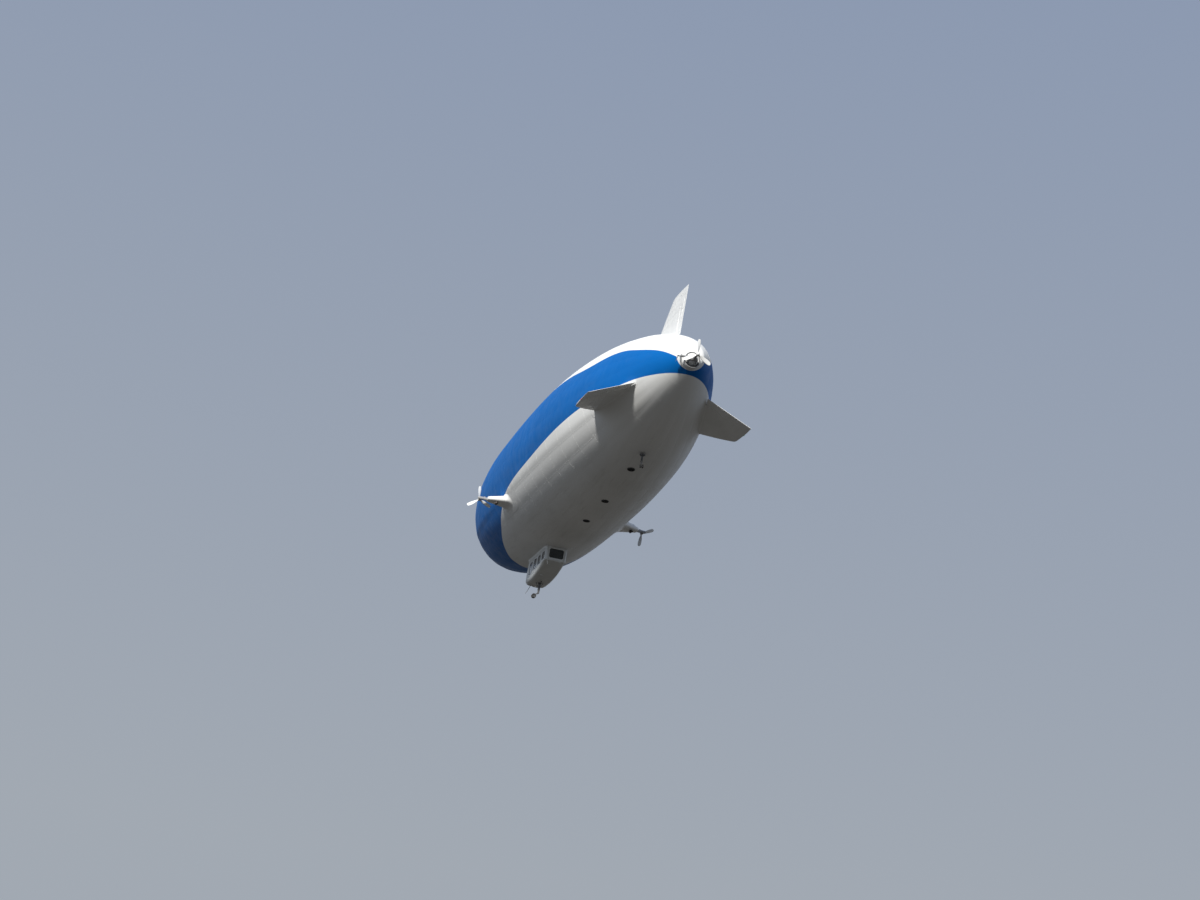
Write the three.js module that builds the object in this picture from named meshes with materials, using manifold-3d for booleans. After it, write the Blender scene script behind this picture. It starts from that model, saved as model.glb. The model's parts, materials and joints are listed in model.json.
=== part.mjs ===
// A semi-rigid advertising airship with a stiff-skinned hull, three tail fins, two side engines,
// a tail engine and a passenger gondola. It is a scale model at half the real size.
//
// Every size and place below is the real airship's, in metres: X to port, Y aft from the tip of
// the nose, Z up from the hull's axis. The outer group turns them into the model's millimetres
// and moves the origin to the centre of lift on the hull's axis.

import * as THREE from 'three';
import { mergeVertices } from 'three/addons/utils/BufferGeometryUtils.js';
import Module from 'manifold-3d';

const wasm = await Module();
wasm.setup();

// Scale and frame
const MM_PER_REAL_METRE = 500;
const LIFT_CENTRE_Y = 34;
const GAP = 0.0008;
// Large bearings need this many sides to turn inside each other with that gap.
const BEARING_SEGMENTS = 40;

// Hull: a body of revolution, blunt at the nose and fine at the tail
const HULL = {
  radius: 7.08,
  widestY: 27.4,
  closingY: 74.2,
  nosePower: 2.274,
  tailPower: 3.0,
  tailFineness: 0.685,
  skin: 0.02,
  noseRingY: 0.35,
  tailRingY: 71.6,
  sternY: 73.3,
  segments: 48,
};

const NOSE_PROBE = { radius: 0.11, headRadius: 0.2, headLength: 0.16, frontY: -0.5, rootY: 0.28 };

// Tail fins: three alike, one on top and one to each side below the hull's middle
const FIN = {
  hingeY: 67.5,
  trailingY: 68.9,
  rootTrailingY: 68.25,
  tipRadius: 7.7,
  trailingTipRadius: 7.63,
  rootThickness: 0.46,
  tipThickness: 0.17,
  noseRadius: 0.06,
  rudderEdge: 0.02,
  rudderHullGap: 0.05,
};
// Columns: distance from the hull's axis, leading edge's Y
const FIN_LEADING_EDGE = [
  [2.6, 58.3],
  [4.7, 60.9],
  [6.38, 62.95],
  [7.3, 64.2],
  [7.62, 64.75],
  [7.7, 65.3],
];
// Columns: name of the fin, name of its control surface, angle from the port side in degrees
const FINS = [
  ['top_fin', 'top_rudder', 90],
  ['port_fin', 'port_tail_flap', -26],
  ['starboard_fin', 'starboard_tail_flap', 206],
];

// Side engines: a tapering pod from the hull out to the swivelling gearbox
const POD = {
  wall: 0.05,
  rootX: 5.55,
  tipX: 7.8,
  closedFromX: 7.35,
  root: { frontY: 30.2, backY: 33.8, middleZ: -3.8, height: 0.98 },
  tip: { frontY: 30.54, backY: 31.6, middleZ: -3.68, height: 0.4 },
};
const SIDE_ENGINE = { x: 6.72, y: 31.75, z: -3.73, length: 0.85, width: 0.8, height: 0.55 };
const SWIVEL = {
  y: 30.99,
  z: -3.7,
  radius: 0.15,
  innerX: 7.82,
  outerX: 8.74,
  journalRadius: 0.1,
  journalX: 7.55,
  hubX: 8.46,
  noseRadius: 0.14,
  frontY: 30.46,
};
const SIDE_PROP = { radius: 1.35, hubRadius: 0.15, backY: 30.44, discY: 30.27, frontY: 29.98, shaftRadius: 0.05 };

// Tail engine: a cowl under the hull's axis, a tilting pusher and a small lateral propeller
const STERN = {
  z: -0.48,
  cowlRadius: 0.68,
  cowlWall: 0.05,
  cowlFrontY: 72.25,
  cowlBackY: 73.62,
  lugX: 0.3,
  lugThickness: 0.1,
  lugRadius: 0.16,
  pivotY: 73.95,
  pinRadius: 0.07,
  gearboxRadius: 0.23,
  shaftRadius: 0.11,
  propShaftRadius: 0.05,
  discY: 75.0,
  propRadius: 1.25,
};
const TAIL_ENGINE = { frontY: 72.45, backY: 73.3, width: 0.86, height: 0.55, bottomZ: -0.955 };
const LATERAL_PROP = { discX: 1.25, radius: 0.7, shaftRadius: 0.05, tubeRadius: 0.1, tubeX: 1.05 };

// Propeller blades. Columns: share of the tip radius, chord, thickness, twist in degrees
const BLADE = [
  [0.06, 0.13, 0.1, 62],
  [0.25, 0.24, 0.06, 48],
  [0.5, 0.33, 0.045, 34],
  [0.8, 0.34, 0.035, 24],
  [0.96, 0.24, 0.028, 20],
  [1.0, 0.12, 0.02, 19],
];
const BLADE_REFERENCE_RADIUS = 1.35;

// Gondola: the wall is inset as a whole to make its inside
const GONDOLA = {
  wall: 0.06,
  frontY: 20.35,
  backY: 31.05,
  halfWidth: 1.12,
  backHalfWidth: 0.94,
  topZ: -6.4,
  ceilingZ: -7.14,
  bellyZ: -9.55,
  bellyFrontY: 22.7,
  bellyBackY: 25.7,
  sternBellyZ: -8.5,
  chineRadius: 0.36,
};
const FLOOR = { topZ: -9.02, thickness: 0.06, frontY: 21.9, backY: 27.85, legYs: [22.9, 25.3] };
const PANE = { inset: 0.012, thickness: 0.02 };
const SIDE_WINDOW = { width: 1.04, topZ: -7.58, corner: 0.17 };
// Columns: middle's Y, lower edge's Z
const SIDE_WINDOWS = [
  [24.3, -8.82],
  [28.2, -8.46],
  [30.06, -8.3],
];
const DOOR = { frontY: 25.6, backY: 27.0, topZ: -7.34, bottomZ: -8.98, corner: 0.12, gap: 0.012 };
const DOOR_WINDOW = [26.3, -8.6];
const HINGE = {
  y: 25.54,
  offX: 0.03,
  pinRadius: 0.012,
  knuckleRadius: 0.026,
  halfHeight: 0.05,
  lugHeight: 0.03,
  levels: [-7.55, -8.75],
};
const WINDSHIELD = { halfWidth: 0.86, topZ: -7.34, bottomZ: -8.66, corner: 0.2, backY: 22.3 };
const REAR_WINDOW = { halfWidth: 0.7, topZ: -7.3, bottomZ: -8.18, corner: 0.16 };

// Seats stand on two rails on the floor. Columns: Y of the seat's front edge
const SEAT = { width: 0.46, depth: 0.46, cushion: 0.12, height: 0.4, back: 0.68, legWidth: 0.3, x: 0.5 };
const PILOT_SEAT_Y = 22.75;
const PASSENGER_SEAT_YS = [24.1, 25.15, 27.2];
const PANEL = { y: 22.05, depth: 0.22, width: 1.3, height: 0.62, topZ: -8.28 };

// Landing gear: a leg with a castor below it and twin wheels astride the castor's arm
const MAIN_GEAR = {
  y: 24.6,
  legRadius: 0.085,
  legBottomZ: -10.55,
  footRadius: 0.2,
  footDepth: 0.08,
  collarRadius: 0.1,
  stemRadius: 0.045,
  trail: 0.42,
  axleZ: -11.0,
  axleRadius: 0.035,
  armThickness: 0.07,
  wheelRadius: 0.235,
  tyreWidth: 0.15,
  wheelSpacing: 0.27,
  turned: -90,
};
const TAIL_GEAR = {
  y: 61.6,
  legRadius: 0.06,
  legBottomZ: -6.0,
  footRadius: 0.24,
  footDepth: 0.08,
  collarRadius: 0.075,
  stemRadius: 0.03,
  trail: 0.26,
  axleZ: -6.26,
  axleRadius: 0.025,
  armThickness: 0.05,
  wheelRadius: 0.17,
  tyreWidth: 0.1,
  wheelSpacing: 0.19,
  turned: 0,
};
// Air valves along the belly. Columns: name, Y
const VALVES = [
  ['belly_valve_forward', 43.0],
  ['belly_valve_middle', 49.8],
  ['belly_valve_aft', 58.2],
];
const VALVE = { radius: 0.33, height: 0.07, rim: 0.05 };

const MATERIALS = {
  white: { color: 0xf2f3f0, roughness: 0.5, metalness: 0.0 },
  blue: { color: 0x1565c0, roughness: 0.45, metalness: 0.0 },
  grey: { color: 0x8d9092, roughness: 0.5, metalness: 0.2 },
  dark: { color: 0x2b2d2f, roughness: 0.6, metalness: 0.1 },
  glass: { color: 0x20262b, roughness: 0.1, metalness: 0.0 },
  rubber: { color: 0x1c1c1d, roughness: 0.85, metalness: 0.0 },
  metal: { color: 0xb4b7ba, roughness: 0.35, metalness: 0.8 },
  fabric: { color: 0x39445c, roughness: 0.9, metalness: 0.0 },
};

const radians = THREE.MathUtils.degToRad;

// Closed surfaces and solids

// Keeps positions only, merges shared corners, drops collapsed triangles and turns faces out.
function closedSurface(geometry) {
  const bare = new THREE.BufferGeometry();
  bare.setAttribute('position', geometry.getAttribute('position').clone());
  if (geometry.index) bare.setIndex(geometry.index.clone());
  const merged = mergeVertices(bare, 1e-5);
  const position = merged.getAttribute('position');
  const triangles = [];
  let volume = 0;
  const [a, b, c] = [new THREE.Vector3(), new THREE.Vector3(), new THREE.Vector3()];
  for (let i = 0; i < merged.index.count; i += 3) {
    const corners = [0, 1, 2].map((k) => merged.index.getX(i + k));
    if (new Set(corners).size < 3) continue;
    a.fromBufferAttribute(position, corners[0]);
    b.fromBufferAttribute(position, corners[1]);
    c.fromBufferAttribute(position, corners[2]);
    volume += a.dot(b.cross(c));
    triangles.push(corners);
  }
  const outward = volume < 0 ? triangles.map(([p, q, r]) => [p, r, q]) : triangles;
  merged.setIndex(outward.flat());
  return merged;
}

function solid(geometry) {
  const surface = closedSurface(geometry);
  return new wasm.Manifold(new wasm.Mesh({
    numProp: 3,
    vertProperties: new Float32Array(surface.getAttribute('position').array),
    triVerts: new Uint32Array(surface.index.array),
  }));
}

function surface(body) {
  const mesh = body.getMesh();
  const geometry = new THREE.BufferGeometry();
  geometry.setAttribute('position', new THREE.BufferAttribute(mesh.vertProperties, 3));
  geometry.setIndex(new THREE.BufferAttribute(mesh.triVerts, 1));
  return geometry;
}

function join(...bodies) {
  return bodies.reduce((whole, body) => whole.add(body));
}

// Simple shapes, each already in its place

function box(x0, x1, y0, y1, z0, z1) {
  const geometry = new THREE.BoxGeometry(x1 - x0, y1 - y0, z1 - z0);
  geometry.translate((x0 + x1) / 2, (y0 + y1) / 2, (z0 + z1) / 2);
  return solid(geometry);
}

// A lathed body about an axis along X, Y or Z through the given point. The profile's columns
// are the radius and the distance along the axis.
function turned(profile, axis, origin, segments = 20) {
  const points = profile.map(([radius, along]) => new THREE.Vector2(radius, along));
  const geometry = new THREE.LatheGeometry(points, segments);
  if (axis === 'x') geometry.rotateZ(-Math.PI / 2);
  if (axis === 'z') geometry.rotateX(Math.PI / 2);
  geometry.translate(...origin);
  return solid(geometry);
}

function cylinder(radius, axis, from, to, origin, segments = 20) {
  return turned([[0, from], [radius, from], [radius, to], [0, to]], axis, origin, segments);
}

function roundedRectangle(u0, u1, v0, v1, corner) {
  const shape = new THREE.Shape();
  shape.moveTo(u0 + corner, v0);
  shape.lineTo(u1 - corner, v0);
  shape.absarc(u1 - corner, v0 + corner, corner, -Math.PI / 2, 0);
  shape.lineTo(u1, v1 - corner);
  shape.absarc(u1 - corner, v1 - corner, corner, 0, Math.PI / 2);
  shape.lineTo(u0 + corner, v1);
  shape.absarc(u0 + corner, v1 - corner, corner, Math.PI / 2, Math.PI);
  shape.lineTo(u0, v0 + corner);
  shape.absarc(u0 + corner, v0 + corner, corner, Math.PI, Math.PI * 1.5);
  return shape;
}

// Extrusions of an outline drawn in the (Y, Z), (X, Z) or (X, Y) plane
function alongX(shape, x0, x1, curveSegments = 4) {
  const geometry = new THREE.ExtrudeGeometry(shape, { depth: x1 - x0, bevelEnabled: false, curveSegments });
  geometry.applyMatrix4(new THREE.Matrix4().set(0, 0, 1, x0, 1, 0, 0, 0, 0, 1, 0, 0, 0, 0, 0, 1));
  return solid(geometry);
}

function alongY(shape, y0, y1, curveSegments = 4) {
  const geometry = new THREE.ExtrudeGeometry(shape, { depth: y1 - y0, bevelEnabled: false, curveSegments });
  geometry.applyMatrix4(new THREE.Matrix4().set(1, 0, 0, 0, 0, 0, 1, y0, 0, 1, 0, 0, 0, 0, 0, 1));
  return solid(geometry);
}

function alongZ(shape, z0, z1, curveSegments = 4) {
  const geometry = new THREE.ExtrudeGeometry(shape, { depth: z1 - z0, bevelEnabled: false, curveSegments });
  geometry.translate(0, 0, z0);
  return solid(geometry);
}

// Hull of revolution

function hullRadius(y) {
  const { radius, widestY, closingY, nosePower, tailPower, tailFineness } = HULL;
  if (y <= widestY) {
    const ahead = (widestY - y) / widestY;
    return radius * Math.sqrt(Math.max(1 - ahead ** nosePower, 0));
  }
  const behind = (y - widestY) / (closingY - widestY);
  return radius * Math.max(1 - behind ** tailPower, 0) ** tailFineness;
}

// Stations crowd towards both ends, where the hull curves most.
function hullStations(fromY, toY, count) {
  const ys = [];
  const phase = (y) => Math.acos(1 - (2 * y) / HULL.closingY);
  const start = phase(Math.max(fromY, 0));
  const end = phase(toY);
  for (let i = 0; i <= count; i += 1) {
    ys.push((HULL.closingY / 2) * (1 - Math.cos(start + ((end - start) * i) / count)));
  }
  return ys;
}

function hullProfile(fromY, toY, count, inset) {
  return hullStations(fromY, toY, count).map((y) => [Math.max(hullRadius(y) - inset, 0), y]);
}

const HULL_STATIONS = { nose: 4, envelope: 26, tailCone: 4 };

// The three lengths of skin share their stations with the block that cuts what meets the hull.
function noseProfile(inset) {
  return hullProfile(0.02, HULL.noseRingY - GAP, HULL_STATIONS.nose, inset);
}

function envelopeProfile(inset) {
  return hullProfile(HULL.noseRingY, HULL.tailRingY, HULL_STATIONS.envelope, inset);
}

function tailProfile(inset) {
  return hullProfile(HULL.tailRingY + GAP, HULL.sternY, HULL_STATIONS.tailCone, inset);
}

// The whole hull as one block, grown by the given margin.
function hullBlock(margin) {
  return turned([
    [0, 0.02 - margin],
    ...noseProfile(-margin),
    ...envelopeProfile(-margin),
    ...tailProfile(-margin),
    [0, HULL.sternY + 0.3],
  ], 'y', [0, 0, 0], HULL.segments);
}

const hullCut = hullBlock(GAP);

function envelope() {
  const outside = envelopeProfile(0);
  const inside = envelopeProfile(HULL.skin).reverse();
  return turned([...outside, ...inside, outside[0]], 'y', [0, 0, 0], HULL.segments);
}

function noseCone() {
  const rim = hullRadius(HULL.noseRingY) - HULL.skin - 0.02;
  const cap = turned([[0, 0.02], ...noseProfile(0), [0, HULL.noseRingY - GAP]], 'y', [0, 0, 0], HULL.segments);
  const plug = cylinder(rim, 'y', HULL.noseRingY - 0.05, HULL.noseRingY + 0.3, [0, 0, 0], HULL.segments);
  const bore = cylinder(NOSE_PROBE.radius + GAP, 'y', -1, NOSE_PROBE.rootY + GAP, [0, 0, 0]);
  return join(cap, plug).subtract(bore);
}

function mooringProbe() {
  const { radius, headRadius, headLength, frontY, rootY } = NOSE_PROBE;
  return turned([
    [0, frontY],
    [headRadius * 0.7, frontY],
    [headRadius, frontY + headLength * 0.4],
    [headRadius, frontY + headLength],
    [radius, frontY + headLength * 1.6],
    [radius, rootY],
    [0, rootY],
  ], 'y', [0, 0, 0]);
}

// The aft end of the skin, closed by a shallow dome around the tail engine's cowl
function tailCone() {
  const skin = HULL.skin * 2;
  const outside = tailProfile(0);
  const endRadius = hullRadius(HULL.sternY);
  const dome = [[0.86, 0.1], [0.6, 0.19], [0.3, 0.235], [0, 0.25]];
  return turned([
    ...outside,
    ...dome.map(([share, back]) => [share * endRadius, HULL.sternY + back]),
    ...dome.map(([share, back]) => [share * endRadius * 0.94, HULL.sternY + back - skin]).reverse(),
    ...tailProfile(skin).reverse(),
    outside[0],
  ], 'y', [0, 0, 0], HULL.segments).subtract(sternCowlBlock(GAP));
}

// Swept sections: an aerofoil outline carried through rows of { at, lead, chord, thick, twist }

function aerofoil(points = 5) {
  const upper = [];
  for (let i = 0; i <= points; i += 1) {
    const along = (1 - Math.cos((Math.PI * i) / points)) / 2;
    upper.push([along, 0.5 * Math.sin(Math.PI * along ** 0.62) ** 0.75]);
  }
  const lower = upper.slice(1, -1).reverse().map(([u, v]) => [u, -v]);
  return new THREE.Shape([...upper, ...lower].map(([u, v]) => new THREE.Vector2(u, v)));
}

// Chord runs along Y, thickness along X and the span along Z.
function sweptWing(rows) {
  const steps = rows.length - 1;
  const geometry = new THREE.ExtrudeGeometry(aerofoil(), { depth: 1, steps, bevelEnabled: false });
  const position = geometry.getAttribute('position');
  for (let i = 0; i < position.count; i += 1) {
    const row = rows[Math.round(position.getZ(i) * steps)];
    const along = row.lead + position.getX(i) * row.chord;
    const across = position.getY(i) * row.thick;
    const twist = radians(row.twist ?? 0);
    position.setXYZ(
      i,
      across * Math.cos(twist) + along * Math.sin(twist),
      along * Math.cos(twist) - across * Math.sin(twist),
      row.at,
    );
  }
  return solid(geometry);
}

// Fins are made standing up from the hull's axis, and then turned about it.
function fixedFin(angle) {
  const backY = FIN.hingeY - FIN.noseRadius * 0.6;
  const first = FIN_LEADING_EDGE[0][0];
  const rows = FIN_LEADING_EDGE.map(([at, lead]) => {
    const share = (at - first) / (FIN.tipRadius - first);
    const thick = THREE.MathUtils.lerp(FIN.rootThickness, FIN.tipThickness, share);
    return { at, lead, chord: (backY - lead) * 1.22, thick };
  });
  const behind = box(-2, 2, backY, backY + 8, 0, 9);
  const cove = cylinder(FIN.noseRadius + GAP, 'z', 0, 9, [0, FIN.hingeY, 0], 32);
  const standing = sweptWing(rows).subtract(behind).subtract(cove);
  return standing.rotate([0, 90 - angle, 0]).subtract(hullCut);
}

function controlSurface(angle) {
  const { noseRadius, rudderEdge, hingeY, trailingY, rootTrailingY, tipRadius, trailingTipRadius } = FIN;
  const section = new THREE.Shape();
  section.moveTo(rudderEdge / 2, trailingY - hingeY);
  section.absarc(0, 0, noseRadius, 0.04, Math.PI - 0.04, true);
  section.lineTo(-rudderEdge / 2, trailingY - hingeY);
  const geometry = new THREE.ExtrudeGeometry(section, { depth: 6, bevelEnabled: false, curveSegments: 8 });
  geometry.translate(0, hingeY, 2.2);
  const plan = new THREE.Shape();
  plan.moveTo(hingeY - 0.2, 2);
  plan.lineTo(rootTrailingY, 2);
  plan.lineTo(trailingY, trailingTipRadius);
  plan.lineTo(hingeY - 0.2, tipRadius);
  const standing = solid(geometry).intersect(alongX(plan, -1, 1));
  return standing.rotate([0, 90 - angle, 0]).subtract(hullBlock(FIN.rudderHullGap));
}

// Propellers: the shaft runs along Y, the first blade points up
function propellerBlades(tipRadius, count = 3) {
  const size = tipRadius / BLADE_REFERENCE_RADIUS;
  const rows = BLADE.map(([share, chord, thick, twist]) => ({
    at: share * tipRadius,
    lead: -chord * size * 0.45,
    chord: chord * size,
    thick: thick * size,
    twist: 90 - twist,
  }));
  const blade = surface(sweptWing(rows));
  const blades = [];
  for (let i = 0; i < count; i += 1) {
    blades.push(solid(blade.clone().rotateY((2 * Math.PI * i) / count)));
  }
  return blades;
}

function sidePropeller(side, firstBlade) {
  const { radius, hubRadius, backY, discY, frontY, shaftRadius } = SIDE_PROP;
  const hub = turned([
    [0, SWIVEL.y - 0.3],
    [shaftRadius, SWIVEL.y - 0.3],
    [shaftRadius, backY],
    [hubRadius, backY],
    [hubRadius, discY - 0.1],
    [hubRadius * 0.75, frontY + 0.1],
    [hubRadius * 0.35, frontY + 0.02],
    [0, frontY],
  ], 'y', [0, 0, 0]);
  const blades = propellerBlades(radius).map((blade) => blade.translate([0, discY, 0]));
  const whole = surface(join(hub, ...blades));
  whole.rotateY(radians(firstBlade));
  whole.translate(side * SWIVEL.hubX, 0, SWIVEL.z);
  return solid(whole);
}

// Side engine pods

// Rounded outline in the (Y, Z) plane that shrinks and shifts from the root to the tip.
function podBlock(inset) {
  const geometry = new THREE.ExtrudeGeometry(
    roundedRectangle(0, 1, -0.5, 0.5, 0.42),
    { depth: 1, steps: 3, bevelEnabled: false, curveSegments: 4 },
  );
  const position = geometry.getAttribute('position');
  const endX = inset > 0 ? POD.closedFromX : POD.tipX;
  for (let i = 0; i < position.count; i += 1) {
    const x = THREE.MathUtils.lerp(POD.rootX, endX, position.getZ(i));
    const out = (x - POD.rootX) / (POD.tipX - POD.rootX);
    const front = THREE.MathUtils.lerp(POD.root.frontY, POD.tip.frontY, out) + inset;
    const back = THREE.MathUtils.lerp(POD.root.backY, POD.tip.backY, out) - inset;
    const middle = THREE.MathUtils.lerp(POD.root.middleZ, POD.tip.middleZ, out);
    const height = THREE.MathUtils.lerp(POD.root.height, POD.tip.height, out) - 2 * inset;
    position.setXYZ(
      i,
      x,
      THREE.MathUtils.lerp(front, back, position.getX(i)),
      middle + position.getY(i) * height,
    );
  }
  return solid(geometry);
}

function mirrored(body, side) {
  if (side > 0) return body;
  return solid(surface(body).scale(-1, 1, 1));
}

function enginePod() {
  const { y, z, journalRadius, journalX } = SWIVEL;
  const bore = cylinder(journalRadius + GAP, 'x', journalX - GAP, 9, [0, y, z], BEARING_SEGMENTS);
  return podBlock(0).subtract(podBlock(POD.wall)).subtract(bore).subtract(hullCut);
}

function sideEngineBlock() {
  const { x, y, z, length, width, height } = SIDE_ENGINE;
  const block = box(x - width / 2, x + width / 2, y - length / 2, y + length / 2, z - height / 2, z + height / 2);
  return block.intersect(podBlock(POD.wall + GAP));
}

// A drum on the swivel axis, with a journal in the pod and a nose that carries the propeller
function swivelGearbox() {
  const { y, z, radius, innerX, outerX, journalRadius, journalX, hubX, noseRadius, frontY } = SWIVEL;
  const drum = turned([
    [0, journalX],
    [journalRadius, journalX],
    [journalRadius, innerX],
    [radius, innerX],
    [radius, outerX - 0.12],
    [radius * 0.6, outerX],
    [0, outerX],
  ], 'x', [0, y, z], BEARING_SEGMENTS);
  const nose = cylinder(noseRadius, 'y', frontY, y, [hubX, 0, z]);
  const bore = cylinder(SIDE_PROP.shaftRadius + GAP, 'y', frontY - 1, y - 0.3 + GAP, [hubX, 0, z]);
  return join(drum, nose).subtract(bore);
}

// Stern

function sternCowlBlock(margin) {
  const { z, cowlRadius, cowlFrontY, cowlBackY } = STERN;
  return turned([
    [0, cowlFrontY],
    [cowlRadius + margin, cowlFrontY],
    [cowlRadius + margin, cowlBackY - 0.2],
    [cowlRadius * 0.8 + margin, cowlBackY + margin],
    [0, cowlBackY + margin],
  ], 'y', [0, 0, z], 32);
}

// An open-fronted cup round the engine, two lugs behind it and the lateral shaft's tube
function sternCowl() {
  const { z, cowlRadius, cowlWall, cowlFrontY, cowlBackY, lugX, lugThickness, lugRadius } = STERN;
  const { pivotY, pinRadius } = STERN;
  const { shaftRadius, tubeRadius, tubeX } = LATERAL_PROP;
  const hollow = cylinder(cowlRadius - cowlWall, 'y', cowlFrontY - 1, cowlBackY - 0.22, [0, 0, z], 32);
  const lugs = [-lugX, lugX].map((x) => {
    const arm = new THREE.Shape();
    arm.moveTo(cowlBackY - 0.12, z - lugRadius);
    arm.lineTo(pivotY, z - lugRadius);
    arm.absarc(pivotY, z, lugRadius, -Math.PI / 2, Math.PI / 2);
    arm.lineTo(cowlBackY - 0.12, z + lugRadius);
    return alongX(arm, x - lugThickness / 2, x + lugThickness / 2, 8);
  });
  const outerX = lugX + lugThickness / 2;
  const tube = cylinder(tubeRadius, 'x', lugX, tubeX, [0, pivotY, z]);
  const pinBores = cylinder(pinRadius + GAP, 'x', -1, outerX, [0, pivotY, z], BEARING_SEGMENTS);
  const shaftBore = cylinder(shaftRadius + GAP, 'x', outerX - 0.01, 2, [0, pivotY, z]);
  return join(sternCowlBlock(0).subtract(hollow), ...lugs, tube).subtract(pinBores).subtract(shaftBore);
}

function tailEngineBlock() {
  const { frontY, backY, width, height, bottomZ } = TAIL_ENGINE;
  const bore = cylinder(STERN.cowlRadius - STERN.cowlWall - GAP, 'y', 70, 75, [0, 0, STERN.z], 32);
  return box(-width / 2, width / 2, frontY, backY, bottomZ, bottomZ + height).intersect(bore);
}

function tailGearbox() {
  const { z, pivotY, pinRadius, gearboxRadius, shaftRadius, propShaftRadius } = STERN;
  const { lugX, lugThickness, discY } = STERN;
  const halfWidth = lugX - lugThickness / 2 - 0.012;
  const drum = cylinder(gearboxRadius, 'x', -halfWidth, halfWidth, [0, pivotY, z], 32);
  const pinEnd = lugX + lugThickness / 2 - GAP;
  const pin = cylinder(pinRadius, 'x', -pinEnd, pinEnd, [0, pivotY, z], BEARING_SEGMENTS);
  const housing = cylinder(shaftRadius, 'y', pivotY, discY - 0.17, [0, 0, z]);
  const bore = cylinder(propShaftRadius + GAP, 'y', discY - 0.5 - GAP, discY, [0, 0, z]);
  return join(drum, pin, housing).subtract(bore);
}

function tailPropeller() {
  const { z, discY, propRadius, shaftRadius, propShaftRadius } = STERN;
  const hub = turned([
    [0, -0.5],
    [propShaftRadius, -0.5],
    [propShaftRadius, -0.155],
    [shaftRadius * 1.2, -0.155],
    [shaftRadius * 1.2, 0.08],
    [shaftRadius * 0.6, 0.2],
    [0, 0.24],
  ], 'y', [0, 0, 0]);
  return join(hub, ...propellerBlades(propRadius)).translate([0, discY, z]);
}

function lateralPropeller() {
  const { discX, radius, shaftRadius, tubeX } = LATERAL_PROP;
  const inner = discX - (STERN.lugX + STERN.lugThickness / 2) - 0.05;
  const back = discX - tubeX - 0.03;
  const hub = turned([
    [0, -0.12],
    [0.04, -0.1],
    [0.08, -0.02],
    [0.08, back],
    [shaftRadius, back],
    [shaftRadius, inner],
    [0, inner],
  ], 'y', [0, 0, 0]);
  const whole = surface(join(hub, ...propellerBlades(radius)));
  whole.rotateZ(Math.PI / 2);
  whole.translate(discX, STERN.pivotY, STERN.z);
  return solid(whole);
}

// Gondola

function gondolaBlock(inset) {
  const g = GONDOLA;
  const front = g.frontY + inset;
  const back = g.backY - inset;
  const belly = g.bellyZ + inset;
  const side = new THREE.Shape();
  side.moveTo(front + 0.35, g.topZ);
  side.lineTo(front + 0.12, -7.3);
  side.quadraticCurveTo(front - 0.08, -8.3, front + 0.35, -8.85);
  side.quadraticCurveTo(front + 0.85, belly, g.bellyFrontY, belly);
  side.lineTo(g.bellyBackY, belly);
  side.lineTo(back - 0.25, g.sternBellyZ + inset);
  side.quadraticCurveTo(back, g.sternBellyZ + inset, back, g.sternBellyZ + inset + 0.25);
  side.lineTo(back, g.topZ);
  const wide = g.halfWidth - inset;
  const backWide = g.backHalfWidth - inset;
  const plan = new THREE.Shape();
  plan.moveTo(0, front);
  plan.bezierCurveTo(0.62, front, wide, front + 1.0, wide, front + 2.9);
  plan.lineTo(wide, back - 0.75);
  plan.quadraticCurveTo(wide, back, backWide - 0.16, back);
  plan.lineTo(-backWide + 0.16, back);
  plan.quadraticCurveTo(-wide, back, -wide, back - 0.75);
  plan.lineTo(-wide, front + 2.9);
  plan.bezierCurveTo(-wide, front + 1.0, -0.62, front, 0, front);
  const corner = g.chineRadius - inset;
  const section = new THREE.Shape();
  section.moveTo(-wide, g.topZ + 0.5);
  section.lineTo(-wide, belly + corner);
  section.absarc(-wide + corner, belly + corner, corner, Math.PI, Math.PI * 1.5);
  section.lineTo(wide - corner, belly);
  section.absarc(wide - corner, belly + corner, corner, -Math.PI / 2, 0);
  section.lineTo(wide, g.topZ + 0.5);
  return alongX(side, -2, 2, 6)
    .intersect(alongZ(plan, -11, -5, 6))
    .intersect(alongY(section, g.frontY - 1, g.backY + 1, 4));
}

// Prism through the side wall. The window's outline is grown by the margin.
function sideWindowPrism(side, y, bottomZ, margin) {
  const { width, topZ, corner } = SIDE_WINDOW;
  const outline = roundedRectangle(
    y - width / 2 - margin,
    y + width / 2 + margin,
    bottomZ - margin,
    topZ + margin,
    corner + margin,
  );
  return alongX(outline, side > 0 ? 0.7 : -1.5, side > 0 ? 1.5 : -0.7);
}

function windshieldPrism(margin) {
  const { halfWidth, topZ, bottomZ, corner, backY } = WINDSHIELD;
  const wide = halfWidth + margin;
  return alongY(roundedRectangle(-wide, wide, bottomZ - margin, topZ + margin, corner), 19, backY);
}

function rearWindowPrism(margin) {
  const { halfWidth, topZ, bottomZ, corner } = REAR_WINDOW;
  const wide = halfWidth + margin;
  return alongY(roundedRectangle(-wide, wide, bottomZ - margin, topZ + margin, corner), 30.6, 32);
}

function doorPrism(margin) {
  const { frontY, backY, topZ, bottomZ, corner } = DOOR;
  return alongX(roundedRectangle(
    frontY - margin,
    backY + margin,
    bottomZ - margin,
    topZ + margin,
    corner + margin,
  ), 0.7, 1.5);
}

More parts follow.
